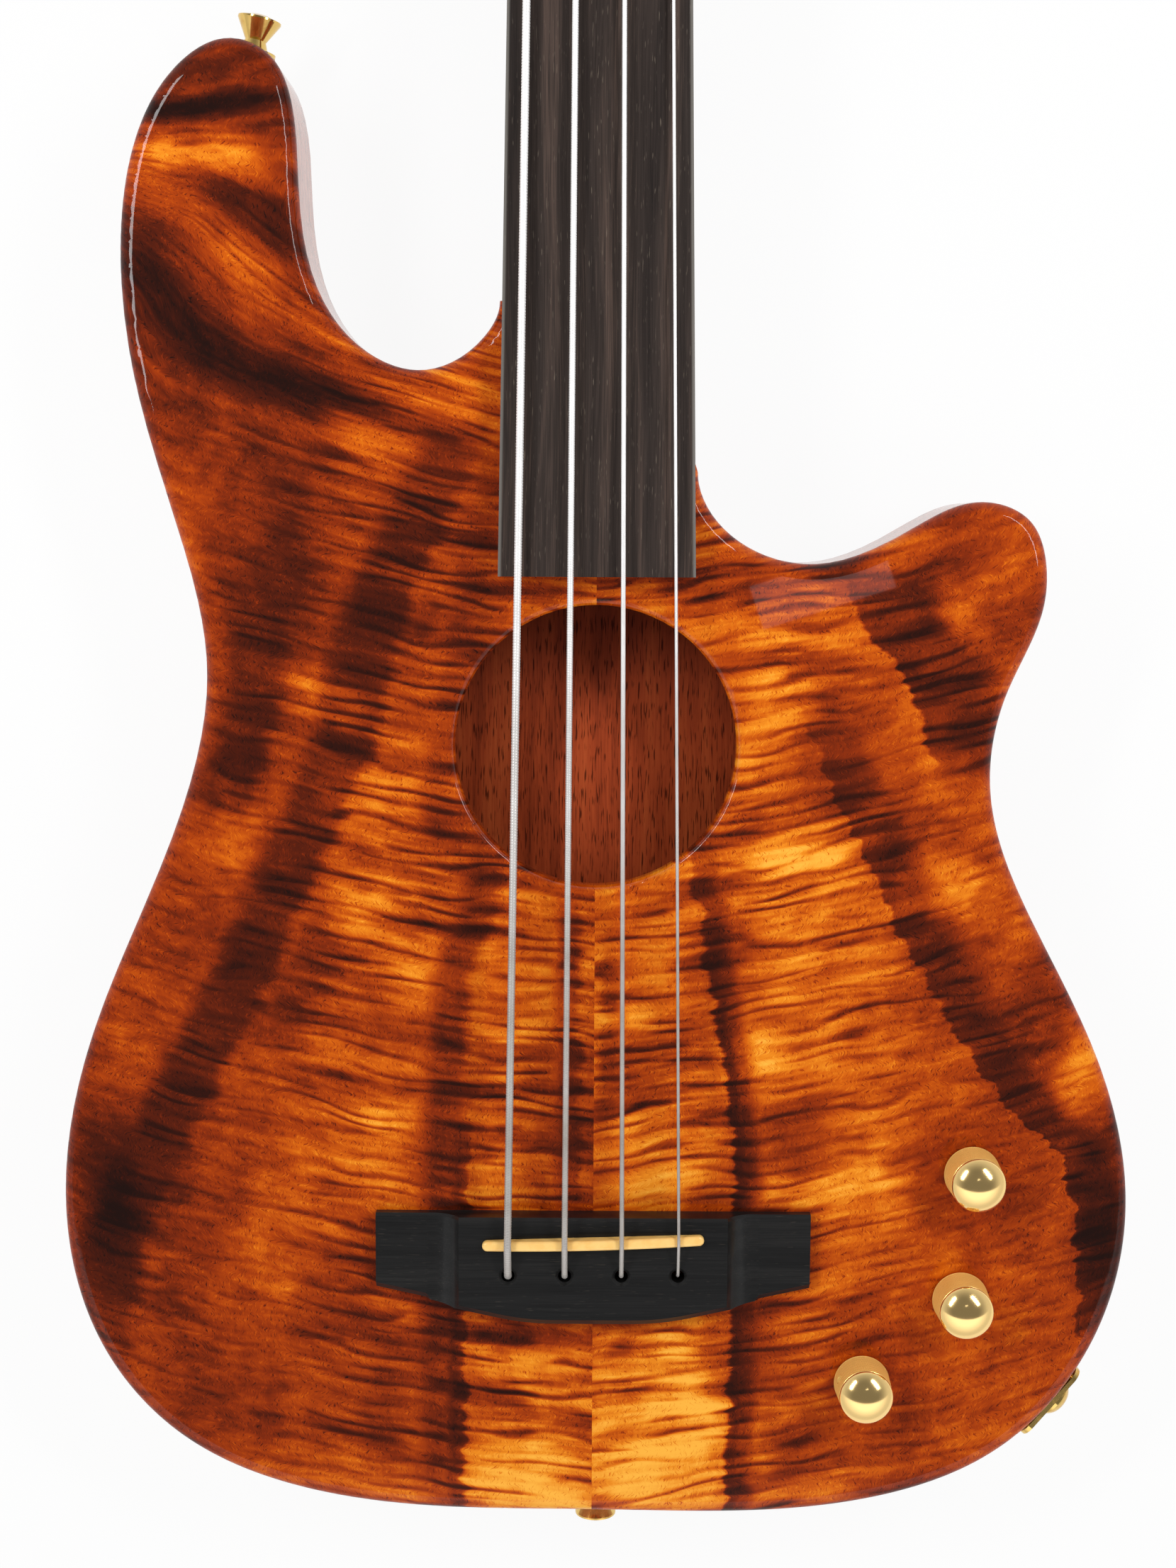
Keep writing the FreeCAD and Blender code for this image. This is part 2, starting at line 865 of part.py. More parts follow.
def build_neck():
    heel_bottom = body_depth - tenon_depth

    def shaft_section(y, depth):
        half = neck_width(y) / 2
        back = Part.Ellipse(V(0, 0, 0), half, depth).toShape(math.pi, 2 * math.pi)
        wire = Part.Wire([back, Part.makeLine(V(half, 0, 0), V(-half, 0, 0))])
        turn = FreeCAD.Rotation(ACROSS, 90)
        return placed(wire, FreeCAD.Placement(V(0, y, board_bottom), turn))

    heel_depth = board_bottom - heel_bottom
    fall = heel_depth - neck_depth_heel
    sections = [shaft_section(board_gap, heel_depth)]
    for share, left in zip(scoop_shares, scoop_depth_shares):
        sections.append(shaft_section(heel_end + heel_scoop * share, neck_depth_heel + fall * left))
    sections.append(shaft_section(nut_rear, neck_depth_nut))
    shaft = Part.makeLoft(sections, True, True)
    envelope = slab(body_outline(), -overrun, body_depth)
    half = tenon_width / 2
    tenon = block(-half, half, tenon_start, heel_end, heel_bottom, board_bottom)
    neck = shaft.cut(envelope).fuse([tenon, head_block(-head_thickness, 0)])
    cuts = [rod_bore(seat_gap)]
    cuts += [placed(shape, head_frame) for shape in head_bores()]
    for x, y in neck_screw_spots():
        tip = neck_screw_sunk + neck_screw_length + seat_gap
        cuts.append(drum(neck_shank + running_gap, 0, tip, x, y))
    return neck.cut(cuts).removeSplitter()


def head_block(low, high):
    near = nut_width / 2
    wide = head_width / 2
    tip = head_tip_width / 2
    right = ((near, 0), (wide, head_flare), (tip, head_length))
    points = [V(x, y, 0) for x, y in right]
    points.append(V(0, head_length + head_peak, 0))
    points += [V(-x, y, 0) for x, y in reversed(right)]
    edges = corner_path(points, (head_corner, head_corner, head_peak_round, head_corner, head_corner))
    edges.append(Part.makeLine(points[-1], points[0]))
    solid = slab(Part.Wire(Part.__sortEdges__(edges)), low, high)
    if high == 0:
        solid = solid.fuse([block(-near, near, -head_drop, 0, low, high)])
    return placed(solid.removeSplitter(), head_frame)


def rod_level():
    return board_bottom - rod_below_board


def rod_bore(gap):
    start = V(0, rod_start, rod_level())
    return rod(rod_radius + gap, start, V(0, nut_rear + rod_nut_thread, rod_level()))


def rod_nut_start():
    return nut_rear + rod_nut_length / 2


def head_bores():
    cuts = []
    for _, _, side, far, _, _ in string_places():
        spot = tuner_spot(side, far)
        deep = veneer_thickness - bushing_length
        cuts.append(drum(bushing_radius + seat_gap, deep, overrun, spot.x, spot.y))
        cuts.append(drum(post_radius + 5 * seat_gap, -head_thickness - overrun, overrun, spot.x, spot.y))
        for x, y in tuner_screw_spots():
            tip = tuner_length - plate_thickness - head_thickness
            low = -head_thickness - overrun
            cuts.append(drum(tuner_shank + running_gap, low, tip, spot.x + side * x, spot.y + y))
    half = rod_pocket_width / 2
    cuts.append(block(-half, half, 0, rod_pocket_length, -rod_pocket_depth, overrun))
    for x, y in cover_screw_spots():
        tip = veneer_thickness + cover_thickness - small_length - seat_gap
        cuts.append(drum(small_shank + running_gap, tip, overrun, x, y))
    return cuts


def cover_screw_spots():
    return ((0, cover_start + cover_length - cover_screw_inset), )


def tuner_screw_spots():
    return (
        (-tuner_screw_across, -tuner_screw_back),
        (tuner_screw_across, -tuner_screw_back),
        (0, tuner_screw_front),
    )


def build_veneer():
    veneer = head_block(seat_gap / 2, veneer_thickness)
    cuts = [placed(shape, head_frame) for shape in head_bores()]
    behind_nut = block(-nut_width, nut_width, 0, nut_rear + seat_gap, 0, body_depth * 2)
    return veneer.cut(cuts + [behind_nut])


def build_truss_cover():
    back = cover_back_width / 2
    tip = cover_tip_width / 2
    end = cover_start + cover_length
    corners = ((-back, cover_start), (back, cover_start), (tip, end), (-tip, end))
    plate = slab(rounded(corners, cover_corner), veneer_thickness, veneer_thickness + cover_thickness)
    cuts = []
    for x, y in cover_screw_spots():
        cuts += screw_seat(x, y, veneer_thickness + cover_thickness)
    return placed(plate.cut(cuts), head_frame)


# A countersunk screw hangs down from its head's face at the given level

def screw(head, head_height, shank, length):
    return turned((
        (0, 0), (head, 0), (shank, -head_height), (shank, shank - length), (0, -length),
    ))


def screw_seat(x, y, level):
    gap = running_gap
    base = V(x, y, level - small_head_height)
    cone = Part.makeCone(small_shank + gap, small_head + gap, small_head_height, base)
    return [cone, drum(small_shank + gap, level - small_length - overrun, level, x, y)]


def build_fingerboard():
    near = neck_width(board_gap) / 2
    away = neck_width(scale_length) / 2
    corners = [
        V(-near, board_gap, 0), V(near, board_gap, 0),
        V(away, scale_length, 0), V(-away, scale_length, 0),
    ]
    plank = slab(Part.makePolygon(corners + [corners[0]]), board_bottom, board_top + overrun)
    return plank.common(arch(board_top, board_gap - overrun, nut_rear)).cut(dots())


def dots():
    # Side markers at the third, fifth, seventh and ninth semitones of each octave.
    marks = []
    for octave in (0, 12):
        for step in (3, 5, 7, 9, 12):
            y = scale_length * 2 ** (-(octave + step) / 12)
            if y < board_gap + neck_depth_heel:
                continue
            offsets = (-2 * dot_radius, 2 * dot_radius) if step == 12 else (0,)
            for offset in offsets:
                spot = V(-neck_width(y + offset) / 2, y + offset, board_top - dot_below_top)
                marks.append(rod(dot_radius, spot, spot + V(dot_depth, 0, 0)))
    return marks


def build_nut():
    half = nut_width / 2
    top = board_top + nut_rise
    nut = block(-half, half, scale_length, nut_rear, board_bottom, top)
    long_edges = edges_where(nut, lambda e: lies_at(e, top) and e.Length > nut_width - seat_gap)
    nut = nut.makeFillet(nut_rise / 2, long_edges)
    cuts = []
    for name, radius, side, far, x_bridge, x_nut in string_places():
        at_nut = nut_point(radius, x_nut)
        behind, _ = winding_start(radius, side, far, at_nut)
        wide = radius + slot_gap
        cuts.append(Part.makeSphere(wide, at_nut))
        cuts.append(rod(wide, at_nut, at_nut + V(0, 0, nut_depth)))
        for aim in (saddle_point(radius, x_bridge), behind):
            away = (aim - at_nut).normalize()
            end = at_nut + away * nut_depth * 2
            cuts.append(rod(wide, at_nut, end))
            walls = block(-wide, wide, 0, nut_depth, 0, nut_depth)
            turn = FreeCAD.Rotation(ALONG, V(away.x, away.y, 0))
            cuts.append(placed(walls, FreeCAD.Placement(at_nut, turn)))
    return nut.cut(cuts)


# Strings

def saddle_point(radius, x):
    y = x * math.tan(math.radians(saddle_slant))
    return V(x, y, saddle_top - crown(x, board_radius) + radius + string_lift)


def nut_point(radius, x):
    z = board_top - crown(x, board_radius) + nut_action + radius
    return V(x, scale_length + nut_depth / 2, z)


def winding_level(radius):
    return post_waist_bottom + radius + winding_space


def winding_radius(radius):
    return post_waist + winding_gap + radius


def winding_start(radius, side, far, at_nut):
    # Where the string meets its turns, on the inner side of the post, and its heading in plan.
    local = head_frame.inverse().multVec(at_nut)
    centre = tuner_spot(side, far)
    away = centre - local
    reach = math.hypot(away.x, away.y)
    ring = winding_radius(radius)
    sense = -side
    heading = math.atan2(away.y, away.x) - sense * math.asin(ring / reach)
    meet = V(
        centre.x + sense * ring * math.sin(heading),
        centre.y - sense * ring * math.cos(heading),
        winding_level(radius),
    )
    return head_frame.multVec(meet), heading


def build_string(radius, side, far, x_bridge, x_nut):
    hole_y = -string_hole_behind
    at_saddle = saddle_point(radius, x_bridge)
    at_nut = nut_point(radius, x_nut)
    meet, heading = winding_start(radius, side, far, at_nut)
    points = [
        V(x_bridge, hole_y, ferrule_recess + ferrule_length - ferrule_lip),
        V(x_bridge, hole_y, bridge_top + radius - string_hole_radius / 4),
        at_saddle,
        at_nut,
        meet,
    ]
    edges = corner_path(points, (string_bend, saddle_bend, nut_bend))
    centre = tuner_spot(side, far)
    ring = winding_radius(radius)
    pitch = 2 * radius + winding_space
    sense = -side
    turn = head_frame.Rotation
    rise = pitch / (2 * math.pi * ring)
    first = math.atan2(-sense * math.cos(heading), sense * math.sin(heading))

    def on_ring(quarter):
        angle = first + sense * quarter * math.pi / 2
        level = winding_level(radius) + pitch * quarter / 4
        spot = V(centre.x + ring * math.cos(angle), centre.y + ring * math.sin(angle), level)
        tangent = V(-sense * math.sin(angle), sense * math.cos(angle), rise).normalize()
        return head_frame.multVec(spot), turn.multVec(tangent)

    here = meet
    heading_in = (meet - at_nut).normalize()
    spots = []
    for quarter in range(1, winding_quarters + 1):
        there, heading_out = on_ring(quarter)
        arcs = biarc(here, heading_in, there, heading_out)
        spots.append([arc.discretize(12) for arc in arcs])
        edges += arcs
        here = there
        heading_in = heading_out
    edges.append(Part.makeLine(here, here + heading_in * (2 * radius)))
    tube = swept(edges, radius, string_sides)
    length = sum(edge.Length for edge in edges)
    return tube, length, least_gap(spots, radius)


def least_gap(spots, radius):
    # The smallest distance between turns at least half a turn apart, less the thickness.
    runs = [[point for arc in quarter for point in arc] for quarter in spots]
    least = body_length
    for i, run in enumerate(runs):
        for other in runs[i + 3:]:
            for a in run:
                for b in other:
                    least = min(least, (a - b).Length)
    return least - 2 * radius


def build_ferrule(x):
    body = drum(ferrule_radius, ferrule_recess, ferrule_recess + ferrule_length)
    lip = ferrule_recess + ferrule_length - ferrule_lip
    inside = drum(ball_radius + seat_gap, 0, lip)
    ring = body.cut([inside, drum(string_hole_radius - seat_gap, 0, body_depth)])
    ring.translate(V(x, -string_hole_behind, 0))
    return ring


def build_ball(x):
    lip = ferrule_recess + ferrule_length - ferrule_lip
    return drum(ball_radius, lip - ball_length, lip, x, -string_hole_behind)


# Tuners, drawn for the treble side in the tuner's frame

def build_post():
    chamfer = post_end_chamfer
    post = turned((
        (0, wheel_top), (post_radius, wheel_top), (post_radius, post_waist_bottom - chamfer),
        (post_waist, post_waist_bottom), (post_waist, post_waist_top),
        (post_radius, post_waist_top + chamfer), (post_radius, post_top - chamfer),
        (post_radius - chamfer, post_top), (0, post_top),
    ))
    half = post_slot / 2
    wide = post_radius + overrun
    slot = block(-half, half, -wide, wide, post_top - post_slot_depth, post_top + overrun)
    post = post.cut([slot, drum(half, post_waist_bottom, post_top + overrun)])
    low = wheel_top - wheel_thickness
    journal = drum(post_journal, low, wheel_top)
    post = post.fuse([journal]).removeSplitter()
    cap = turned((
        (0, low), (post_head_radius, low), (post_head_radius, low - post_head_height / 2),
        (post_head_radius - chamfer, low - post_head_height), (0, low - post_head_height),
    ))
    return group([post, build_wheel(), cap])


def build_wheel():
    step = 2 * math.pi / wheel_teeth
    ring = []
    for tooth in range(wheel_teeth):
        middle = math.pi / 2 + tooth * step
        root = wheel_tooth_root / 2 / wheel_root_radius
        tip = wheel_tooth_tip / 2 / wheel_tip_radius
        for radius, angle in (
            (wheel_root_radius, middle - root), (wheel_tip_radius, middle - tip),
            (wheel_tip_radius, middle + tip), (wheel_root_radius, middle + root),
        ):
            ring.append(V(radius * math.cos(angle), radius * math.sin(angle), 0))
    wheel = slab(Part.makePolygon(ring + [ring[0]]), wheel_top - wheel_thickness, wheel_top)
    return wheel.cut(drum(post_journal, wheel_top - wheel_thickness - overrun, wheel_top + overrun))


def build_key():
    # The worm, its shaft and the clover-shaped key turn as one, about the tuner's X.
    lead = 2 * math.pi * wheel_pitch_radius / wheel_teeth
    length = worm_turns * lead
    helix = Part.makeHelix(lead, length, worm_root_radius)
    inner = worm_root_radius - worm_sunk
    root = worm_thread_root / 2
    tip = worm_thread_tip / 2
    thread = Part.makePolygon([
        V(inner, 0, -root), V(worm_tip_radius, 0, -tip), V(worm_tip_radius, 0, tip),
        V(inner, 0, root), V(inner, 0, -root),
    ])
    ridge = Part.Wire(helix).makePipeShell([thread], True, True)
    ridge.translate(V(0, 0, -length / 2))
    ridge = placed(ridge, FreeCAD.Placement(V(0, 0, 0), FreeCAD.Rotation(UP, 90)))
    end = lug_inside + lug_thickness
    shaft = drum(worm_root_radius, -end - collar_thickness, end + stem_length)
    outer = lug_inside - collar_gap
    collars = [
        drum(collar_radius, outer - collar_thickness, outer),
        drum(collar_radius, -outer, collar_thickness - outer),
    ]
    spindle = shaft.fuse([ridge] + collars)
    spindle = aimed(spindle, V(0, worm_reach, worm_level), ACROSS)
    stem = rod(stem_radius, V(end + collar_gap, 0, 0), V(end + stem_length, 0, 0))
    low = -key_thickness / 2
    high = key_thickness / 2
    lobes = [
        drum(key_lobe, low, high, key_lobe_reach, -key_lobe_spread),
        drum(key_lobe, low, high, key_lobe_reach, key_lobe_spread),
        drum(key_lobe, low, high, key_tip_reach, 0),
        block(end + stem_length / 2, key_tip_reach, -key_web, key_web, low, high),
    ]
    key = stem.fuse(lobes)
    key.translate(V(0, worm_reach, worm_level))
    return spindle.fuse([key]).removeSplitter()


def build_tuner_frame():
    low = -head_thickness - plate_thickness
    half = plate_half_width
    corners = ((-half, -plate_back), (half, -plate_back), (half, plate_front), (-half, plate_front))
    plate = slab(rounded(corners, plate_corner), low, -head_thickness)
    bottom = worm_level - lug_below_axis
    lugs = [
        block(x, x + lug_thickness, worm_reach - lug_half_width, worm_reach + lug_half_width, bottom, low)
        for x in (-lug_inside - lug_thickness, lug_inside)
    ]
    end = lug_inside + lug_thickness + overrun
    bore = rod(
        worm_root_radius + running_gap,
        V(-end, worm_reach, worm_level),
        V(end, worm_reach, worm_level),
    )
    cuts = [bore, drum(post_radius + seat_gap, low - overrun, 0)]
    for x, y in tuner_screw_spots():
        cuts.append(drum(tuner_shank + running_gap, low - overrun, 0, x, y))
    return plate.fuse(lugs).cut(cuts)


def build_tuner_screw():
    # A round-headed screw that points up into the headstock from the plate's underside.
    top = tuner_length
    head = tuner_head_height
    return turned((
        (0, -head), (tuner_head / 2, -head), (tuner_head, -head / 3), (tuner_head, 0),
        (tuner_shank, 0), (tuner_shank, top - tuner_shank), (0, top),
    ))


def build_bushing():
    top = veneer_thickness
    return turned((
        (post_radius + running_gap, top - bushing_length), (bushing_radius, top - bushing_length),
        (bushing_radius, top), (bushing_flange, top), (bushing_flange, top + bushing_flange_height / 2),
        (post_radius + running_gap, top + bushing_flange_height),
    ))


# Truss rod nut

def build_rod_nut():
    start = rod_nut_start()
    level = rod_level()
    nut = rod(rod_nut_radius, V(0, start, level), V(0, start + rod_nut_length, level))
    thread = rod(rod_radius + running_gap, V(0, start - overrun, level), V(0, start + rod_nut_thread, level))
    ring = []
    for i in range(6):
        angle = i * math.pi / 3
        ring.append(V(rod_nut_key * math.cos(angle), 0, rod_nut_key * math.sin(angle)))
    face = Part.Face(Part.makePolygon(ring + [ring[0]]))
    face.translate(V(0, start + rod_nut_thread, level))
    return nut.cut([thread, face.extrude(V(0, rod_nut_length, 0))])


def build_rod():
    end = rod_nut_start() + rod_nut_thread - seat_gap
    return rod(rod_radius, V(0, rod_start, rod_level()), V(0, end, rod_level()))


# Knobs and pots

def build_knob():
    base = knob_floor_gap
    side = knob_side_height
    waist = knob_top_radius - knob_groove
    band = side + knob_groove + knob_band
    cap = knob_height - band
    ball = (knob_top_radius ** 2 + cap ** 2) / (2 * cap)
    half_turn = math.asin(knob_top_radius / ball) / 2
    middle = (ball * math.sin(half_turn), knob_height - ball + ball * math.cos(half_turn), 1)
    bore = shaft_radius + running_gap
    inside = knob_recess_depth + base
    knob = turned((
        (bore, inside), (knob_recess_radius, inside), (knob_recess_radius, base), (knob_base_radius, base),
        (knob_top_radius, side), (waist, side),
        (waist, side + knob_groove), (knob_top_radius, side + knob_groove),
        (knob_top_radius, band), middle,
        (0, knob_height), (0, knob_bore_depth + base), (bore, knob_bore_depth + base),
    ))
    hole = rod(grub_radius + running_gap, V(0, 0, grub_rise), V(knob_base_radius + overrun, 0, grub_rise))
    return knob.cut(hole)


def build_grub():
    start = shaft_radius + seat_gap
    return rod(grub_radius, V(start, 0, grub_rise), V(start + grub_length, 0, grub_rise))


def build_shaft():
    top = body_depth + knob_floor_gap + knob_bore_depth - seat_gap
    return drum(shaft_radius, cavity_top - shaft_sunk, top)


def build_pot():
    can = drum(pot_radius, cavity_top - pot_height, cavity_top)
    bushing = drum(pot_bushing_radius, cavity_top - seat_gap, body_depth + pot_bushing_rise)
    bore = drum(shaft_radius + running_gap, cavity_top - shaft_sunk - seat_gap, body_depth + overrun)
    return can.fuse([bushing]).cut(bore)


def build_pot_nut():
    ring = []
    for i in range(6):
        angle = i * math.pi / 3
        ring.append(V(pot_nut_radius * math.cos(angle), pot_nut_radius * math.sin(angle), 0))
    nut = slab(Part.makePolygon(ring + [ring[0]]), body_depth, body_depth + pot_nut_height)
    return nut.cut(drum(pot_bushing_radius + running_gap, 0, body_depth + overrun))


def build_lid():
    lid = slab(rounded(control_corners(pot_margin + lid_lip), lid_corner), lid_sunk, lid_sunk + lid_thickness)
    cuts = []
    for x, y in lid_screw_spots():
        gap = running_gap
        seat = Part.makeCone(small_head + gap, small_shank + gap, small_head_height, V(x, y, lid_sunk))
        cuts += [seat, drum(small_shank + gap, 0, body_depth, x, y)]
    return lid.cut(cuts)


def build_battery():
    x = battery_centre_x - battery_width / 2
    y = battery_centre_y - battery_length / 2
    low = lid_sunk + lid_thickness
    case = block(x, x + battery_width, y, y + battery_length, low, low + battery_height)
    return case.makeFillet(overrun / 2, edges_where(case, lambda e: e.BoundBox.YLength > battery_width))


def preamp_centre():
    (_, ax, ay), (_, bx, by), _ = knob_places
    return V((ax + bx) / 2, (ay + by) / 2, 0)


def build_preamp():
    centre = preamp_centre()
    x = board_width_x / 2
    y = board_length_y / 2
    top = cavity_top - board_spacer
    sheet = block(-x, x, -y, y, top - board_sheet, top)
    pad = block(-chip_size, chip_size, -chip_size / 2, chip_size / 2, top, cavity_top)
    under = top - board_sheet
    half = chip_size / 2
    chips = [
        block(middle - half, middle + half, -chip_size, 0, under - chip_height, under)
        for middle in (-chip_size, chip_size)
    ]
    board = sheet.fuse([pad] + chips)
    board.translate(centre)
    return board


# Jack, drawn with +Z out of the side

def build_jack_plate():
    half = jack_plate_size / 2
    corners = ((-half, -half), (half, -half), (half, half), (-half, half))
    low = -jack_land
    plate = slab(rounded(corners, jack_plate_corner), low, low + jack_plate_thickness)
    cuts = [drum(jack_thread_radius + seat_gap, low - overrun, overrun)]
    for spot in jack_screw_spots():
        cuts += screw_seat(spot.x, spot.y, low + jack_plate_thickness)
    return plate.cut(cuts)


def build_jack():
    back = -jack_land - jack_body_length
    body = drum(jack_body_radius, back, -jack_land)
    thread = drum(jack_thread_radius, -jack_land - seat_gap, jack_reach)
    mouth = jack_reach - jack_bore_depth
    return body.fuse([thread]).cut(drum(jack_bore_radius, mouth, jack_reach + overrun))


def build_jack_cap():
    low = jack_plate_thickness - jack_land
    inner = jack_thread_radius + running_gap
    high = low + jack_cap_height
    return turned((
        (inner, low), (jack_cap_radius, low), (jack_cap_radius, high - jack_cap_dome),
        (jack_cap_radius - jack_cap_dome / 2, high - jack_cap_dome / 3, 1), (inner + running_gap, high),
        (inner, high),
    ))


# Strap buttons, drawn with +Z out of the side

def build_strap_button():
    low = strap_washer - strap_seat
    head = strap_screw_head + running_gap
    shank = strap_screw_shank + running_gap
    sunk = strap_height - strap_screw_head_height - strap_seat
    return turned((
        (shank, low), (strap_foot_radius, low), (strap_foot_radius, low + seat_gap * 5),
        (strap_waist_radius, low + strap_waist_rise),
        (strap_rim_radius, strap_rim_rise), (strap_rim_radius, strap_rim_rise + seat_gap * 6),
        (head + seat_gap, strap_height), (head, sunk), (shank, sunk),
    ))


def build_strap_washer():
    ring = drum(strap_washer_radius, -strap_seat, strap_washer - strap_seat)
    return ring.cut(drum(strap_screw_shank + running_gap, -strap_seat - overrun, overrun))


def build_strap_screw():
    top = strap_height - strap_seat
    base = top - strap_screw_head_height
    tip = -strap_screw_length
    return turned((
        (0, tip), (strap_screw_shank, tip + strap_screw_shank), (strap_screw_shank, base),
        (strap_screw_head, base), (strap_screw_head, base + strap_screw_head_height / 2), (0, top),
    ))


# Leads

def tube_radii(points):
    # Each arc is as large as the shorter of its two runs allows.
    radii = []
    for i in range(1, len(points) - 1):
        back = points[i - 1] - points[i]
        ahead = points[i + 1] - points[i]
        half = (math.pi - back.getAngle(ahead)) / 2
        radii.append(0.45 * min(back.Length, ahead.Length) / math.tan(half))
    return radii


def build_piezo_lead():
    start = lead_start()
    start.z = saddle_bottom
    corner = V(start.x, start.y, lead_height)
    centre = preamp_centre()
    end = V(centre.x - board_width_x / 2, start.y, lead_height)
    radii = (lead_bend,)
    print("piezo lead bend radii", [round(r, 1) for r in radii])
    return swept(corner_path([start, corner, end], radii), lead_radius)


def build_jack_lead():
    back = jack_frame().multVec(V(0, 0, -jack_land - jack_body_length))
    inward = jack_frame().Rotation.multVec(UP) * -1
    points = [back, back + inward * jack_reach]
    centre = preamp_centre()
    under = cavity_top - board_spacer - board_sheet
    tail = V(centre.x, centre.y + chip_size / 2, under)
    (_, bx, by) = knob_places[1]
    below = cavity_top - pot_height - 4 * lead_radius
    points.append(V(bx + lead_radius, by, below - lead_radius))
    points.append(V(tail.x, tail.y, below - 2 * lead_radius))
    points.append(tail)
    radii = tube_radii(points)
    print("jack lead bend radii", [round(r, 1) for r in radii])
    return swept(corner_path(points, radii), lead_radius)


# Every node of the instrument

def build_all():
    nodes = {}
    nodes["body_core"] = build_core()
    nodes["top_bass_half"], nodes["top_treble_half"] = build_top_halves()
    nodes["bridge"] = build_bridge()
    nodes["saddle"] = build_saddle()
    nodes["piezo_strip"] = build_piezo()
    nodes["neck"] = build_neck()
    nodes["fingerboard"] = build_fingerboard()
    nodes["side_dots"] = group(dots())
    nodes["nut"] = build_nut()
    nodes["headstock_veneer"] = build_veneer()
    nodes["truss_rod"] = build_rod()
    nodes["truss_rod_nut"] = build_rod_nut()
    nodes["truss_rod_cover"] = build_truss_cover()

    places = list(string_places())
    nodes["string_ferrules"] = group(build_ferrule(place[4]) for place in places)
    nodes["string_ball_ends"] = group(build_ball(place[4]) for place in places)
    post = build_post()
    key = build_key()
    frame = build_tuner_frame()
    bushing = build_bushing()
    tuner_screw = build_tuner_screw()
    bushings = []
    tuner_screws = []
    for name, radius, side, far, x_bridge, x_nut in places:
        tube, length, gap = build_string(radius, side, far, x_bridge, x_nut)
        print("string %s: length %.0f, least gap between turns %.2f" % (name, length, gap))
        nodes["string_" + name] = tube
        nodes["tuner_frame_" + name] = on_tuner(frame, side, far)
        nodes["tuner_key_" + name] = on_tuner(key, side, far)
        nodes["tuner_post_" + name] = on_tuner(post, side, far)
        bushings.append(on_tuner(bushing, side, far))
        for x, y in tuner_screw_spots():
            screw_here = tuner_screw.copy()
            screw_here.translate(V(x, y, -head_thickness - plate_thickness))
            tuner_screws.append(on_tuner(screw_here, side, far))
    nodes["tuner_bushings"] = group(bushings)
    nodes["tuner_screws"] = group(tuner_screws)

    neck_screws = []
    neck_bushings = []
    neck_screw = screw(neck_head, neck_head_height, neck_shank, neck_screw_length)
    flip = FreeCAD.Rotation(ACROSS, 180)
    for x, y in neck_screw_spots():
        neck_screws.append(placed(neck_screw, FreeCAD.Placement(V(x, y, neck_screw_sunk), flip)))
        neck_bushings.append(build_neck_bushing(x, y))
    nodes["neck_screws"] = group(neck_screws)
    nodes["neck_screw_bushings"] = group(neck_bushings)

    pots = []
    nuts = []
    for (name, x, y), (_, _, _, turn) in zip(knob_places, knob_shares):
        spot = FreeCAD.Placement(V(x, y, 0), FreeCAD.Rotation())
        on_top = FreeCAD.Placement(V(x, y, body_depth), FreeCAD.Rotation(UP, turn))
        nodes["knob_" + name] = placed(build_knob(), on_top)
        nodes["grub_screw_" + name] = placed(build_grub(), on_top)
        nodes["pot_shaft_" + name] = placed(build_shaft(), spot)
        pots.append(placed(build_pot(), spot))
        nuts.append(placed(build_pot_nut(), spot))
    nodes["pot_bodies"] = group(pots)
    nodes["pot_nuts"] = group(nuts)
    nodes["control_cover"] = build_lid()
    nodes["battery"] = build_battery()
    nodes["preamp_board"] = build_preamp()

    side = jack_frame()
    nodes["jack_plate"] = placed(build_jack_plate(), side)
    nodes["jack_socket"] = placed(build_jack(), side)
    nodes["jack_cap_nut"] = placed(build_jack_cap(), side)
    nodes["piezo_lead"] = build_piezo_lead()
    nodes["jack_lead"] = build_jack_lead()

    small = screw(small_head, small_head_height, small_shank, small_length)
    small_screws = []
    for x, y in lid_screw_spots():
        small_screws.append(placed(small, FreeCAD.Placement(V(x, y, lid_sunk), flip)))
    for spot in jack_screw_spots():
        small_screws.append(placed(small, side.multiply(FreeCAD.Placement(spot, FreeCAD.Rotation()))))
    for x, y in cover_screw_spots():
        spot = FreeCAD.Placement(V(x, y, veneer_thickness + cover_thickness), FreeCAD.Rotation())
        small_screws.append(placed(small, head_frame.multiply(spot)))
    nodes["small_screws"] = group(small_screws)

    washers = []
    screws = []
    for name, frame in strap_frames:
        nodes["strap_button_" + name] = placed(build_strap_button(), frame)
        washers.append(placed(build_strap_washer(), frame))
        screws.append(placed(build_strap_screw(), frame))
    nodes["strap_button_washers"] = group(washers)
    nodes["strap_button_screws"] = group(screws)
    return nodes


def build_neck_bushing(x, y):
    low = neck_bushing_sunk
    high = low + neck_bushing_height
    cup = drum(neck_bushing_radius, low, high, x, y)
    gap = running_gap
    mouth = drum(neck_head + gap, low - overrun, neck_screw_sunk, x, y)
    seat = Part.makeCone(neck_head + gap, neck_shank + gap, neck_head_height, V(x, y, neck_screw_sunk))
    return cup.cut([mouth, seat, drum(neck_shank + gap, 0, body_depth, x, y)])


def main():
    os.makedirs("parts", exist_ok=True)
    nodes = build_all()
    for name, shape in nodes.items():
        shape.exportStep("parts/%s.step" % name)
        state = (name, len(shape.Solids), shape.isValid(), shape.Volume)
        print("%-22s solids %2d valid %s volume %.0f" % state)
    print("nodes", len(nodes))


main()
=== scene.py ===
import math

import bpy
import numpy as np
from mathutils import Matrix


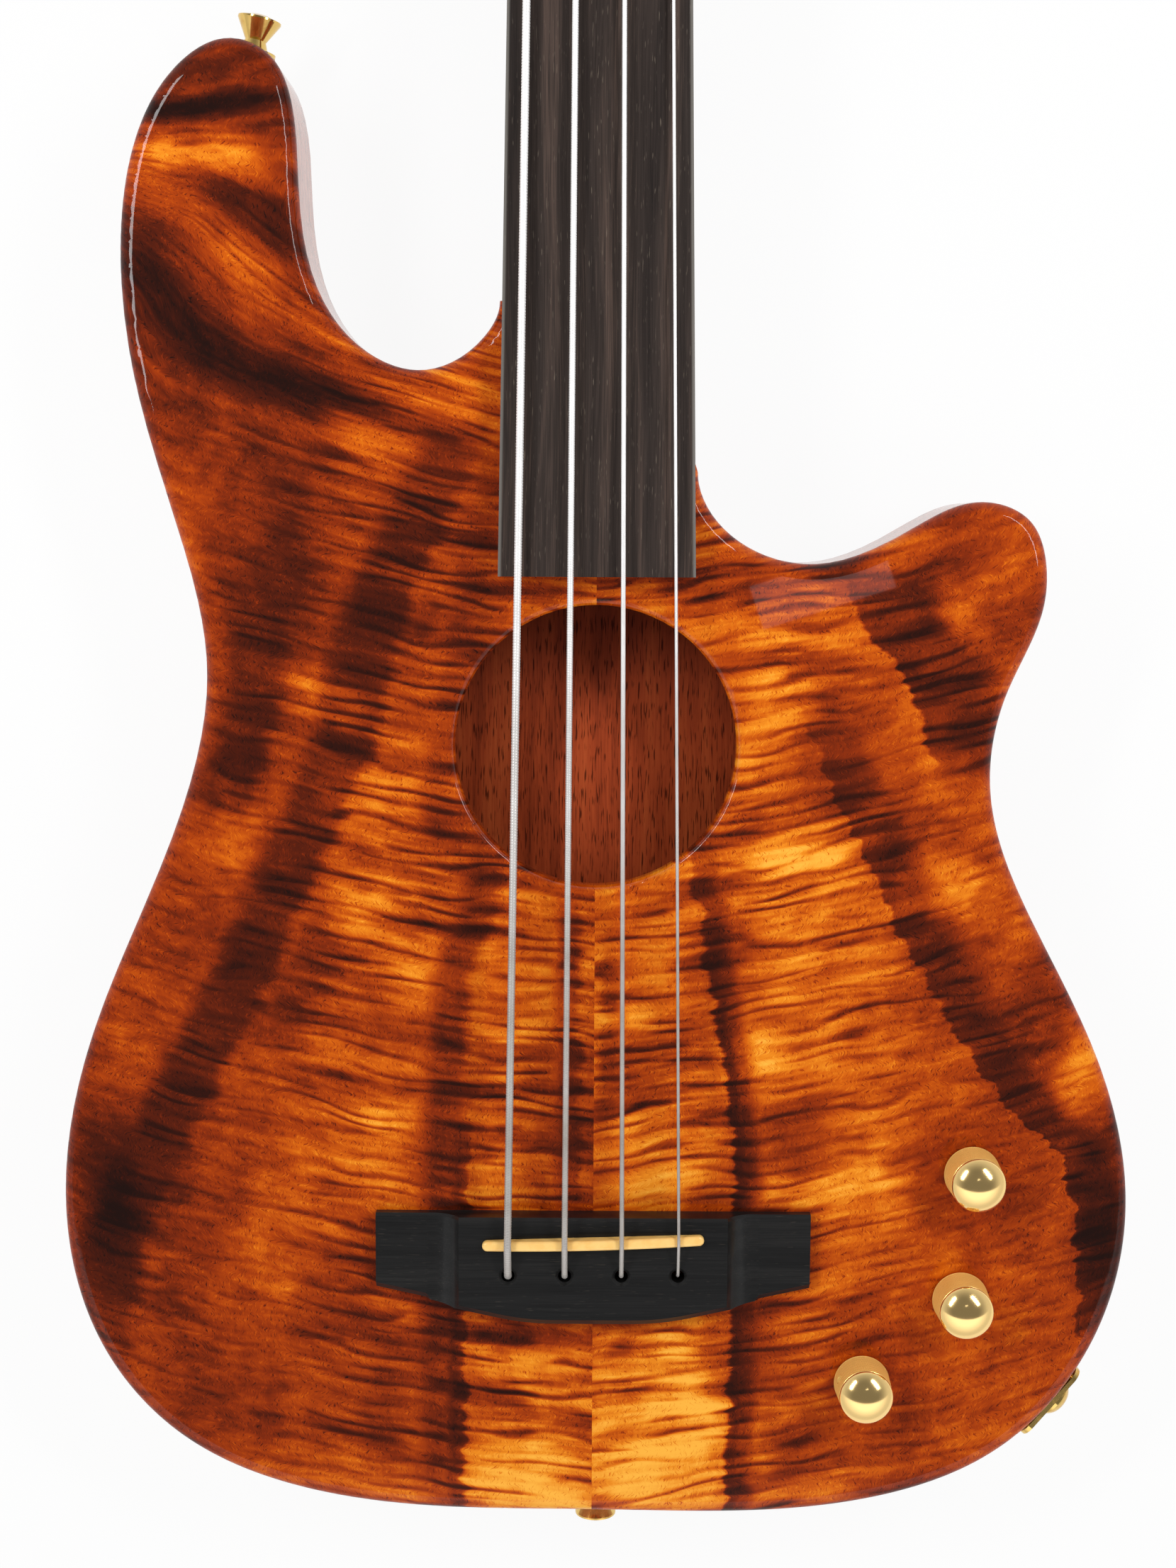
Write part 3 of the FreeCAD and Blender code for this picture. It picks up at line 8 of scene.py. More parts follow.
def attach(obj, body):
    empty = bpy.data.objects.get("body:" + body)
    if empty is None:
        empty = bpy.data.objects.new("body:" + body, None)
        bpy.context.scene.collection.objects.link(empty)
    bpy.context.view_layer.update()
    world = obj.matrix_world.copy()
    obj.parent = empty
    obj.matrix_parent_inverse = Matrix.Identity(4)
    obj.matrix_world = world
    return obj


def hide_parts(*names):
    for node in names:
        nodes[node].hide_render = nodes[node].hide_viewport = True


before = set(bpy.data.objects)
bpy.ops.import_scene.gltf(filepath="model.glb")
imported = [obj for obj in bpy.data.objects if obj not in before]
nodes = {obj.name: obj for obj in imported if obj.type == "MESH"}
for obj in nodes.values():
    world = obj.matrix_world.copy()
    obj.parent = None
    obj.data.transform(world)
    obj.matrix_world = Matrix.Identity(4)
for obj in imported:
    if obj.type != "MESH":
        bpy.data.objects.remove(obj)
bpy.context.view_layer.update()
mm = 0.001  # every size below is in millimetres unless a note says otherwise
print("frame:", len(nodes), "nodes")


# Shader maths: a Signal wraps one socket, a Paint is one material's tree

class Signal:
    def __init__(self, paint, socket):
        self.paint = paint
        self.socket = socket

    def __add__(self, other):
        return self.paint.math("ADD", self, other)

    def __sub__(self, other):
        return self.paint.math("SUBTRACT", self, other)

    def __mul__(self, other):
        return self.paint.math("MULTIPLY", self, other)

    def __rsub__(self, other):
        return self.paint.math("SUBTRACT", other, self)

    def __abs__(self):
        return self.paint.math("ABSOLUTE", self)

    __radd__ = __add__
    __rmul__ = __mul__


class Paint:
    def __init__(self, name, owner=None):
        # owner is the world when the sky is painted; otherwise a material is made
        self.material = owner or bpy.data.materials.new(name)
        self.material.use_nodes = True
        self.tree = self.material.node_tree
        self.tree.nodes.clear()

    def node(self, kind, settings=None, inputs=None, out=0):
        made = self.tree.nodes.new(kind)
        for key, value in (settings or {}).items():
            if key == "stops":
                band = made.color_ramp.elements
                while len(band) < len(value):
                    band.new(1.0)
                for stop, (place, colour) in zip(band, value):
                    stop.position = place
                    stop.color = (*colour, 1.0)
            elif key == "line":
                curve = made.mapping.curves[0]
                while len(curve.points) < len(value):
                    curve.points.new(1.0, 1.0)
                for point, place in zip(curve.points, value):
                    point.location = place
                made.mapping.update()
            else:
                setattr(made, key, value)
        for key, value in (inputs or {}).items():
            if isinstance(key, int):
                socket = made.inputs[key]
            else:
                socket = next(s for s in made.inputs if s.enabled and s.name == key)
            if isinstance(value, Signal):
                self.tree.links.new(value.socket, socket)
            else:
                socket.default_value = value
        shown = [s for s in made.outputs if s.enabled]
        if not shown:
            return None  # a material's or world's output has none
        return Signal(self, shown[out] if isinstance(out, int) else made.outputs[out])

    def math(self, operation, *values, clamp=False):
        settings = {"operation": operation, "use_clamp": clamp}
        return self.node("ShaderNodeMath", settings, dict(enumerate(values)))

    def clamp(self, value):
        return self.math("ADD", value, 0.0, clamp=True)

    def step(self, value, low, high):
        # eased from 0 at low to 1 at high
        limits = {"Value": value, "From Min": low, "From Max": high}
        return self.node("ShaderNodeMapRange", {"interpolation_type": "SMOOTHSTEP"}, limits)

    def vector(self, x, y, z=0.0):
        return self.node("ShaderNodeCombineXYZ", None, {"X": x, "Y": y, "Z": z})

    def split(self, vector):
        made = self.node("ShaderNodeSeparateXYZ", None, {"Vector": vector}).socket.node
        return [Signal(self, made.outputs[i]) for i in range(3)]

    def noise(self, where, detail=2.0, roughness=0.5):
        # where is a place times 1 / size, so that a spot is about size millimetres across
        inputs = {"Vector": where, "Scale": 1.0, "Detail": detail, "Roughness": roughness}
        return self.node("ShaderNodeTexNoise", None, inputs)

    def ramp(self, value, stops):
        return self.node("ShaderNodeValToRGB", {"stops": stops}, {"Fac": value})

    def curve(self, value, low, high, line):
        # line is a list of (value, result); both are scaled to 0..1 for the node and back
        results = [r for _, r in line]
        base, span = min(results), max(results) - min(results)
        places = [((v - low) / (high - low), (r - base) / span) for v, r in sorted(line)]
        share = self.clamp((value - low) * (1 / (high - low)))
        return self.node("ShaderNodeFloatCurve", {"line": places}, {"Value": share}) * span + base

    def blend(self, factor, first, second, kind="MIX"):
        inputs = {"Factor": factor, "A": first, "B": second}
        return self.node("ShaderNodeMix", {"data_type": "RGBA", "blend_type": kind}, inputs)

    def axes(self):
        # place on the piece in millimetres
        spot = self.node("ShaderNodeTexCoord", None, None, "Object")
        return [part * (1 / mm) for part in self.split(spot)]

    def bump(self, height, distance, strength):
        inputs = {"Height": height, "Distance": distance * mm, "Strength": strength}
        return self.node("ShaderNodeBump", None, inputs)

    def finish(self, **sockets):
        # a Principled surface; Base_Color stands for its socket Base Color
        named = {key.replace("_", " "): value for key, value in sockets.items()}
        self.output(self.node("ShaderNodeBsdfPrincipled", None, named))
        return self.material

    def output(self, surface, kind="ShaderNodeOutputMaterial"):
        self.node(kind, None, {"Surface": surface})


def tone(red, green, blue):
    # a colour as a screen shows it, 0 to 255, made linear
    shares = (red / 255, green / 255, blue / 255)
    return tuple(((c + 0.055) / 1.055) ** 2.4 if c > 0.04 else c / 12.92 for c in shares)


def flat(red, green, blue):
    return (*tone(red, green, blue), 1.0)


# Camera, as worked out from the photograph

cameraSetup = {
    "place": (-2.53, 239.80, 772.0),
    "tilt": 6.70,  # degrees from straight down
    "roll": -0.30,
    "halfHeight": 1106,  # pixels of the 1659 x 2212 image, as is the focus
    "focus": 3072,
    "nearest": 10.0,
}


def makeCamera(setup):
    # right and top are the picture's two directions, turned by the roll about the line of sight
    tilt, roll = math.radians(setup["tilt"]), math.radians(setup["roll"])
    across = np.array((1.0, 0.0, 0.0))
    up = np.array((0.0, math.cos(tilt), -math.sin(tilt)))
    back = np.array((0.0, math.sin(tilt), math.cos(tilt)))
    right = math.cos(roll) * across - math.sin(roll) * up
    top = math.sin(roll) * across + math.cos(roll) * up
    data = bpy.data.cameras.new("camera")
    data.sensor_fit = "VERTICAL"
    data.angle = 2 * math.atan(setup["halfHeight"] / setup["focus"])
    data.clip_start = setup["nearest"] * mm
    camera = bpy.data.objects.new("camera", data)
    turn = Matrix([[right[i], top[i], back[i]] for i in range(3)]).to_4x4()
    camera.matrix_world = Matrix.Translation([c * mm for c in setup["place"]]) @ turn
    bpy.context.scene.collection.objects.link(camera)
    bpy.context.scene.camera = camera


makeCamera(cameraSetup)


# Studio: pale floor, sky that is dim overhead and bright at the horizon, with a brighter panel beyond
# the tail, two wide soft lamps at the sides of the neck and a small one over the treble cutaway

studio = {
    "floorBelow": 0.3,
    "floorSize": 60000,
    "floorPaint": 0.8,
    "floorGlow": 0.92,  # share of plain white that the camera and reflections see
    "overhead": 0.28,  # brightness of the sky
    "horizon": 0.95,
    "skyFade": (0.15, 0.80),  # height, as a share of straight up, over which it falls off
    "backdropLean": 0.44,  # tangent of the angle from straight up at which the tail's panel ends
    "backdropSoft": 0.06,
    "backdropGlow": 1.9,
    "skySeen": 1.22,  # what the camera sees beyond the floor's edge, as white as the floor
    "aim": (0.0, 150.0, 50.0),
    # lamps: name, direction from the aim, distance, width, height, power in watts
    "lamps": (
        ("lampLeft", (-0.87, 0.46, 1.0), 1150, 640, 140, 5.7),
        ("lampRight", (0.87, 0.50, 1.0), 1150, 640, 140, 5.7),
        ("lampSmall", (0.21, 0.072, 1.0), 740, 30, 92, 0.022),
    ),
}


def makeStudio(setup):
    scene = bpy.context.scene
    scene.view_settings.view_transform = "Standard"
    half = setup["floorSize"] / 2 * mm
    low = -setup["floorBelow"] * mm
    corners = [(-half, -half, low), (half, -half, low), (half, half, low), (-half, half, low)]
    mesh = bpy.data.meshes.new("floor")
    mesh.from_pydata(corners, [], [(0, 1, 2, 3)])
    floor = bpy.data.objects.new("floor", mesh)
    scene.collection.objects.link(floor)
    paint = Paint("floor")
    pale = (setup["floorPaint"],) * 3 + (1.0,)
    plain = paint.node("ShaderNodeBsdfDiffuse", None, {"Color": pale})
    white = paint.node("ShaderNodeEmission", None, {"Color": (1.0, 1.0, 1.0, 1.0), "Strength": 1.0})
    rays = [paint.node("ShaderNodeLightPath", None, None, kind)
            for kind in ("Is Camera Ray", "Is Glossy Ray", "Is Transmission Ray")]
    glow = paint.clamp(rays[0] + rays[1] + rays[2]) * setup["floorGlow"]
    paint.output(paint.node("ShaderNodeMixShader", None, {0: glow, 1: plain, 2: white}))
    mesh.materials.append(paint.material)

    world = bpy.data.worlds.new("studio")
    scene.world = world
    sky = Paint("studio", world)
    way = sky.node("ShaderNodeTexCoord", None, None, "Generated")
    _, ahead, height = sky.split(way)
    fall = sky.step(height, *setup["skyFade"])
    level = fall * (setup["overhead"] - setup["horizon"]) + setup["horizon"]
    panel = sky.step(ahead * -1.0 - height * setup["backdropLean"], 0.0, setup["backdropSoft"]) * fall
    level = level + panel * (setup["backdropGlow"] - setup["overhead"])
    seen = sky.node("ShaderNodeLightPath", None, None, "Is Camera Ray")
    level = level + seen * (setup["skySeen"] - level)
    light = sky.node("ShaderNodeBackground", None, {"Strength": level})
    sky.output(light, "ShaderNodeOutputWorld")

    for name, spot, reach, wide, tall, power in setup["lamps"]:
        data = bpy.data.lights.new(name, "AREA")
        data.shape = "RECTANGLE"
        data.size = wide * mm
        data.size_y = tall * mm
        data.energy = power
        lamp = bpy.data.objects.new(name, data)
        way = np.array(spot) / np.linalg.norm(spot)
        place = np.array(setup["aim"]) + way * reach
        side = np.cross((0, 0, 1), way)
        side /= np.linalg.norm(side)
        top = np.cross(way, side)
        turn = Matrix([[side[i], top[i], way[i]] for i in range(3)]).to_4x4()
        lamp.matrix_world = Matrix.Translation(place * mm) @ turn
        scene.collection.objects.link(lamp)


makeStudio(studio)
print("camera and studio made")


# Figured top wood: the two halves mirror each other about the seam

topFigure = {
    "stops": (
        (0.00, tone(252, 180, 66)),
        (0.12, tone(236, 140, 30)),
        (0.28, tone(208, 96, 12)),
        (0.44, tone(172, 64, 8)),
        (0.60, tone(136, 44, 8)),
        (0.76, tone(90, 28, 8)),
        (1.00, tone(30, 12, 8)),
    ),
    "reach": (-110.0, 410.0),  # stretch of Y that the streaks' lines cover
    # streaks: line of (Y, distance from the seam), inner and outer half width, inner and outer
    # softness, strength, and where along Y it fades in and out
    "bass": (
        (((-110, 48), (-35, 49), (48, 48), (80, 46), (115, 36), (160, 27), (210, 22)),
         7.0, 13.0, 6.0, 9.0, 0.78, (-200, -190, 105, 170)),
        (((-110, 46), (-35, 46), (48, 43), (115, 31), (160, 25), (210, 22)),
         3.0, 4.0, 1.6, 3.2, 0.80, (-200, -190, 10, 70)),
        (((-110, 172), (-25, 168), (33, 147), (88, 120), (141, 96), (181, 80), (215, 73),
          (240, 61), (290, 37)),
         14.0, 16.0, 7.0, 11.0, 0.82, (-80, 10, 230, 300)),
        (((-110, 7), (15, 7), (115, 8), (200, 7)), 5.5, 6.5, 4.0, 5.0, 0.65, (-5, 25, 105, 125)),
        (((100, 130), (155, 122), (200, 112), (240, 128), (300, 150)),
         14.0, 14.0, 9.0, 10.0, 0.85, (130, 165, 200, 250)),
        (((100, 60), (150, 52), (200, 44), (240, 38)), 8.0, 10.0, 7.0, 8.0, 0.40, (120, 150, 230, 270)),
    ),
    "treble": (
        (((-110, 47), (-35, 50), (20, 50), (48, 48), (80, 43), (115, 37), (160, 28), (210, 20)),
         4.0, 9.0, 2.5, 7.0, 0.86, (-200, -190, 105, 160)),
        (((-110, 46), (-35, 49), (20, 49), (48, 47), (80, 42), (115, 36), (160, 28), (210, 20)),
         2.2, 3.0, 1.2, 2.4, 0.80, (-200, -190, 70, 115)),
        (((-110, 4), (70, 5), (200, 6)), 5.0, 6.0, 4.0, 5.0, 0.45, (25, 55, 85, 115)),
        (((-110, 170), (-6, 173), (21, 168), (45, 148), (76, 126), (116, 104), (168, 79), (220, 55)),
         7.5, 17.0, 1.5, 13.0, 0.82, (-60, 0, 135, 205)),
        (((-110, 166), (-6, 166), (21, 161), (45, 141), (76, 119), (116, 97)),
         0.9, 0.9, 0.6, 0.7, 0.55, (-60, -20, 60, 100)),
        (((100, 140), (163, 124), (190, 116), (218, 96), (260, 90)),
         14.0, 24.0, 2.0, 14.0, 0.90, (152, 172, 205, 240)),
    ),
    # patches: distance from the seam, Y, reach across, reach along, darkening (less than 0 brightens)
    "bassPatches": (
        (130, 376, 44, 5, 0.50), (110, 343, 22, 9, 0.34), (122, 360, 30, 8, -0.26), (125, 388, 20, 6, 0.12),
        (112, 289, 60, 11, 0.46), (88, 290, 22, 12, 0.16), (138, 326, 26, 14, 0.16),
        (166, 14, 14, 34, 0.26), (148, 330, 12, 26, 0.12), (75, 250, 34, 20, 0.10),
        (26, -76, 34, 34, -0.30), (99, 66, 14, 16, -0.14), (24, -50, 16, 18, -0.28),
        (85, 30, 34, 40, -0.04), (129, 134, 14, 14, -0.14), (72, 104, 18, 22, -0.14), (30, 20, 14, 34, -0.16),
        (99, 226, 12, 30, 0.18), (74, 271, 18, 9, -0.26), (48, -60, 16, 14, 0.16),
        (84, 180, 12, 10, -0.18), (60, -74, 20, 14, 0.20), (108, -64, 24, 16, 0.14),
    ),
    "treblePatches": (
        (174, 10, 12, 44, 0.26), (24, -76, 34, 34, -0.30), (18, 30, 22, 46, -0.12), (14, -46, 22, 10, -0.24),
        (78, 80, 30, 46, -0.10), (68, 44, 14, 12, 0.22), (76, 14, 24, 16, -0.18), (68, -76, 14, 14, 0.20),
        (186, 44, 9, 12, 0.34), (22, 100, 12, 14, -0.16),
        (40, 220, 20, 12, 0.28), (56, 170, 16, 22, -0.24), (80, 136, 16, 14, -0.26),
        (112, 119, 14, 14, -0.22), (142, 178, 14, 14, -0.26), (140, 210, 16, 12, 0.18),
        (114, 226, 18, 9, 0.18), (168, 64, 12, 18, -0.30), (140, 130, 24, 30, -0.12),
        (84, 186, 14, 12, 0.14),
    ),
    "curlRise": (0.08, 0.0007),  # curl bands rise by distance from the seam and its square, times these
    "hornPivot": 118,  # away from the seam; the horn's bands turn about this line by the slopes at each Y
    "hornTurn": ((215, 0.0), (262, 0.12), (285, 0.22), (305, 0.45), (325, 0.62), (345, 0.22),
                 (362, -0.22), (380, -0.42), (410, -0.45)),
    "curlSpacing": 5.3,
    "curlReach": (60, 125),  # away from the seam, over which the curl fades
    "bassTone": 0.51,
    "trebleTone": 0.45,
    "toneReach": (-0.20, 1.09),  # depths that are the lightest and the darkest stop
    "coat": 0.34,
    "hole": 167.5,  # Y of its middle
    "lipReach": (56, 60),  # from that middle, over which the lip's full coat ends
    "lipTop": (49.3, 49.95),  # Z over which it ends
    "seed": {"bass": 0.0, "treble": 40.0},
}


def topFinish(name, side, look):
    # depth of tone = broad regions + curl bands + blotches + streaks + patches + fibres and pores, then
    # a colour ramp; the coat is thin and glossy, and full only on the sound hole's lip
    paint = Paint(name)
    x, y, z = paint.axes()
    away = x * (1.0 if side == "treble" else -1.0)
    seed = look["seed"][side]
    drift = paint.noise(paint.vector(away * (1 / 75), y * (1 / 120), seed + 2.0), 2.0) - 0.5
    rise, bow = look["curlRise"]
    turns, pivot = look["hornTurn"], look["hornPivot"]
    horn = paint.curve(y, turns[0][0], turns[-1][0], turns) * (away - pivot)
    level = y - away * rise - away * away * bow - horn + drift * 14
    sway = paint.noise(paint.vector(away * (1 / 44), level * (1 / 15), seed + 5.0), 1.5) - 0.5
    wave = paint.math("FRACT", level * (1 / look["curlSpacing"]) + sway * 3.0)
    line = 1 - paint.step(wave, 0.0, 0.42) * (1 - paint.step(wave, 0.76, 1.0))
    gate = paint.noise(paint.vector(away * (1 / 32), level * (1 / 7), seed + 8.0), 1.0)
    broad = paint.noise(paint.vector(away * (1 / 48), level * (1 / 8), seed + 11.0), 2.0, 0.5)
    fine = paint.noise(paint.vector(away * (1 / 17), level * (1 / 1.9), seed + 14.0), 2.0, 0.5)
    curl = line * paint.step(gate, 0.38, 0.64) * 0.55 + paint.step(broad, 0.34, 0.70) * 0.45
    jog = (curl - 0.4) * 2.4 + (broad - 0.5) * 8 + (fine - 0.5) * 3
    across = away + drift * 16 + jog
    lean = away + drift * 4 + jog
    region = paint.noise(paint.vector(across * (1 / 42), y * (1 / 60), seed + 17.0), 3.0, 0.55)
    power = paint.noise(paint.vector(away * (1 / 50), y * (1 / 50), seed + 20.0), 1.0)
    near = 1 - paint.step(away, *look["curlReach"])
    shown = near * 0.7 + 0.3
    blotch = paint.noise(paint.vector(away * (1 / 9), level * (1 / 4), seed + 32.0), 2.0, 0.6) - 0.5
    gain = (paint.step(power, 0.32, 0.62) * 0.4 + 0.6) * shown
    depth = (region - 0.5) * 0.9 + look[side + "Tone"]
    depth = depth + (curl - 0.38) * gain * 0.72 + (fine - 0.5) * gain * 0.42
    depth = depth + blotch * (0.42 - near * 0.28)
    low, high = look["reach"]
    dark = paint.step(curl, 0.10, 0.72)
    for path, inner, outer, innerSoft, outerSoft, strength, ends in look[side]:
        off = lean - paint.curve(y, low, high, path)
        body = paint.step(off, -inner, innerSoft - inner) * (1 - paint.step(off, outer - outerSoft, outer))
        body = body * paint.step(y, ends[0], ends[1]) * (1 - paint.step(y, ends[2], ends[3]))
        body = body * (dark * 0.56 + 0.46) * strength
        depth = depth + (1 - depth) * body
    edge = (region - 0.5) * 1.6 + (curl - 0.4) * 0.5
    for centre, height, wide, tall, change in look[side + "Patches"]:
        turned = np.interp(height, *zip(*turns)) * (centre - pivot)
        middle = height - centre * rise - centre * centre * bow - float(turned)
        dx = (lean - centre) * (1 / wide)
        dy = (level - middle) * (1 / tall)
        far = paint.math("SQRT", dx * dx + dy * dy) + edge
        depth = depth + (1 - paint.step(far, 0.15, 1.35)) * change
    fibre = paint.noise(paint.vector(across * (1 / 0.8), y * (1 / 15), seed + 23.0), 2.0, 0.6)
    depth = depth + (fibre - 0.5) * 0.14
    ripple = paint.noise(paint.vector(away * (1 / 4.5), level * (1 / 2.6), seed + 29.0), 1.0) - 0.5
    bend = across + sway * 5 + ripple * 3.4
    pore = paint.noise(paint.vector(bend * (1 / 0.42), level * (1 / 2.0), seed + 26.0), 1.5)
    where = paint.step(power, 0.3, 0.55) * 0.4 + 0.6
    depth = depth + paint.step(pore, 0.59, 0.70) * where * 0.26 - (1 - paint.step(pore, 0.28, 0.42)) * 0.12
    wood = paint.ramp(paint.step(depth, *look["toneReach"]), look["stops"])
    rough = 0.34 + fibre * 0.1
    off = paint.math("SQRT", x * x + (y - look["hole"]) * (y - look["hole"]))
    lip = (1 - paint.step(off, *look["lipReach"])) * (1 - paint.step(z, *look["lipTop"]))
    coat = lip * (1 - look["coat"]) + look["coat"]
    return paint.finish(Base_Color=wood, Roughness=rough, Specular_IOR_Level=0.02,
                        Coat_Weight=coat, Coat_Roughness=0.02)


# Red-brown pored wood of the core and, in satin, of the neck: ribbons, fibres and dark pores along Y

plainWood = {
    "body": {"stops": ((0.0, tone(120, 60, 42)), (0.5, tone(182, 100, 72)), (1.0, tone(212, 132, 98))),
             "coat": 0.8, "rough": 0.4, "gloss": 0.12},
    "neck": {"stops": ((0.0, tone(92, 46, 26)), (0.5, tone(138, 78, 46)), (1.0, tone(170, 104, 64))),
             "coat": 0.25, "rough": 0.5, "gloss": 0.3},
}
bareWood = {  # the core inside the sound hole, browner and uncoated, with painted shade under the board's end
    "middle": 167.5,  # Y of the hole's middle
    "reach": (80.0, 92.0),  # from it, over which the bare wood ends
    "floor": (4, 7),  # Z over which it begins
    "tint": (232, 160, 70),
    "shadeReach": (-12, 46),  # past the middle, along Y, over which the painted shade grows
    "shade": (118, 92, 78),
}


def plainFinish(name, look, bare=None):
    paint = Paint(name)
    x, y, z = paint.axes()
    sway = paint.noise(paint.vector(x * (1 / 40), y * (1 / 120), z * (1 / 40)), 2.0) - 0.5
    ribbon = paint.noise(paint.vector(x * (1 / 9) + sway * 2.5, y * (1 / 190), z * (1 / 3.5)), 3.0, 0.55)
    fibre = paint.noise(paint.vector(x * (1 / 0.7) + sway * 8, y * (1 / 22), z * (1 / 0.7)), 2.0, 0.6)
    pore = paint.noise(paint.vector(x * (1 / 0.5) + sway * 10, y * (1 / 7.5), z * (1 / 0.5)), 1.0)
    pores = paint.step(pore, 0.57, 0.66)
    depth = paint.clamp((ribbon - 0.5) * 1.5 + (fibre - 0.5) * 0.8 + 0.52)
    wood = paint.ramp(depth, look["stops"])
    wood = paint.blend(pores * 0.8, wood, flat(54, 22, 14))
    normal = paint.bump(pores * -1.0, 0.05, 0.4)
    coat, rough = look["coat"], look["rough"] + pores * 0.2
    if bare:
        past = y - bare["middle"]
        off = paint.math("SQRT", x * x + past * past)
        inside = (1 - paint.step(off, *bare["reach"])) * paint.step(z, *bare["floor"])
        coat = coat - inside * coat
        rough = rough + inside * 0.3
        wood = paint.blend(inside * 0.85, wood, flat(*bare["tint"]), "MULTIPLY")
        # painted shade: the bare wood darkened toward the neck, under the board's end
        shaded = inside * paint.step(past, *bare["shadeReach"])
        wood = paint.blend(shaded * 0.75, wood, flat(*bare["shade"]), "MULTIPLY")
    return paint.finish(Base_Color=wood, Roughness=rough, Normal=normal,
                        Specular_IOR_Level=look["gloss"], Coat_Weight=coat, Coat_Roughness=0.04)


# Near-black woods: bands, fibres and pale flecks along the grain, whose axis is named by along; the
# board's two long edges are painted paler, a painted highlight where the light catches them

darkWood = {
    "board": {"stops": ((0.0, tone(28, 22, 20)), (0.5, tone(52, 43, 39)), (1.0, tone(90, 73, 65))),
              "along": "y", "rough": 0.45, "fleck": 0.4, "coat": 0.0,
              "edges": (224.0, 32.35, 863.6, 22.25),  # Y and half width at either end
              "edgeHighlightReach": (-1.3, -0.5)},  # from the edge, over which the painted highlight grows
    "bridge": {"stops": ((0.0, tone(12, 12, 12)), (0.5, tone(23, 23, 23)), (1.0, tone(38, 37, 36))),
               "along": "x", "rough": 0.34, "fleck": 0.1, "coat": 0.15},
    "veneer": {"stops": ((0.0, tone(18, 17, 17)), (0.5, tone(34, 32, 31)), (1.0, tone(52, 47, 43))),
               "along": "y", "rough": 0.3, "fleck": 0.15, "coat": 0.6},
}


def darkFinish(name, look):
    paint = Paint(name)
    x, y, z = paint.axes()
    along, over = (y, x) if look["along"] == "y" else (x, y)
    sway = paint.noise(paint.vector(over * (1 / 30), along * (1 / 160), z * (1 / 30)), 2.0) - 0.5
    band = paint.noise(paint.vector(over * (1 / 5) + sway * 3, along * (1 / 260), z * (1 / 5)), 2.0, 0.5)
    thread = paint.vector(over * (1 / 0.45) + sway * 8, along * (1 / 26), z * (1 / 0.45))
    fibre = paint.noise(thread, 2.0, 0.6)
    pore = paint.noise(paint.vector(over * (1 / 0.32) + sway * 10, along * (1 / 5), z * (1 / 0.32)), 1.0)
    depth = paint.clamp((band - 0.5) * 1.3 + (fibre - 0.5) * 0.9 + 0.48)
    wood = paint.ramp(depth, look["stops"])
    flecks = paint.step(pore, 0.68, 0.76)
    wood = paint.blend(flecks * look["fleck"], wood, flat(128, 116, 102))
    if "edges" in look:
        first, wide, last, narrow = look["edges"]
        half = (y - first) * ((narrow - wide) / (last - first)) + wide
        # painted highlight: the board's long edges made paler, where the light catches their rounding
        edgeHighlight = paint.step(abs(x) - half, *look["edgeHighlightReach"])
        wood = paint.blend(edgeHighlight * 0.6, wood, flat(132, 128, 122))
    normal = paint.bump(pore, 0.03, 0.25)
    rough = look["rough"] + (fibre - 0.5) * 0.18
    return paint.finish(Base_Color=wood, Roughness=rough, Normal=normal, Specular_IOR_Level=0.16,
                        Coat_Weight=look["coat"], Coat_Roughness=0.1)


# Metals: a colour, a roughness with smudges, fine scratches in the normal

metals = {
    "gold": {"colour": (226, 190, 112), "dullColour": (206, 160, 84),
             "rough": 0.09, "smudge": 0.12, "scratch": 0.05},
    "knob": {"colour": (253, 216, 144), "dullColour": (252, 204, 112),
             "rough": 0.13, "smudge": 0.08, "edge": 63.4},  # Z at which the knurl ends
    "brass": {"colour": (196, 150, 74), "dullColour": (158, 116, 56),
              "rough": 0.26, "smudge": 0.2, "scratch": 0.12},
    "steel": {"colour": (196, 194, 190), "dullColour": (160, 156, 150),
              "rough": 0.28, "smudge": 0.18, "scratch": 0.12},
    "string": {"colour": (250, 249, 248), "dullColour": (156, 149, 142),
               "rough": 0.36, "smudge": 0.1, "scratch": 0.05},
}


def metalFinish(name, look):
    paint = Paint(name)
    x, y, z = paint.axes()
    cloud = paint.noise(paint.vector(x * (1 / 7), y * (1 / 7), z * (1 / 7)), 3.0, 0.6)
    smudge = paint.step(cloud, 0.45, 0.72)
    scratch = paint.noise(paint.vector(x * (1 / 0.5), y * (1 / 6), z * (1 / 0.5)), 2.0, 0.6)
    colour = paint.blend(smudge, flat(*look["colour"]), flat(*look["dullColour"]))
    rough = look["rough"] + smudge * look["smudge"] + (scratch - 0.5) * look["scratch"]
    normal = paint.bump(scratch, 0.01, look["scratch"])
    return paint.finish(Base_Color=colour, Roughness=rough, Metallic=1.0, Normal=normal)


# Knobs: polished gold above the knurl's end, duller and warmer gold on the knurl

def knobFinish(name, look):
    paint = Paint(name)
    x, y, z = paint.axes()
    cloud = paint.noise(paint.vector(x * (1 / 5), y * (1 / 5), z * (1 / 5)), 3.0, 0.6)
    side = 1 - paint.step(z, look["edge"] - 0.2, look["edge"] + 0.1)
    colour = paint.blend(side, flat(*look["colour"]), flat(*look["dullColour"]))
    rough = look["rough"] + (cloud - 0.5) * look["smudge"] + side * 0.25
    return paint.finish(Base_Color=colour, Roughness=rough, Metallic=1 - side * 0.6)


# Plastics, bone and small parts: two mottled colours over a roughness

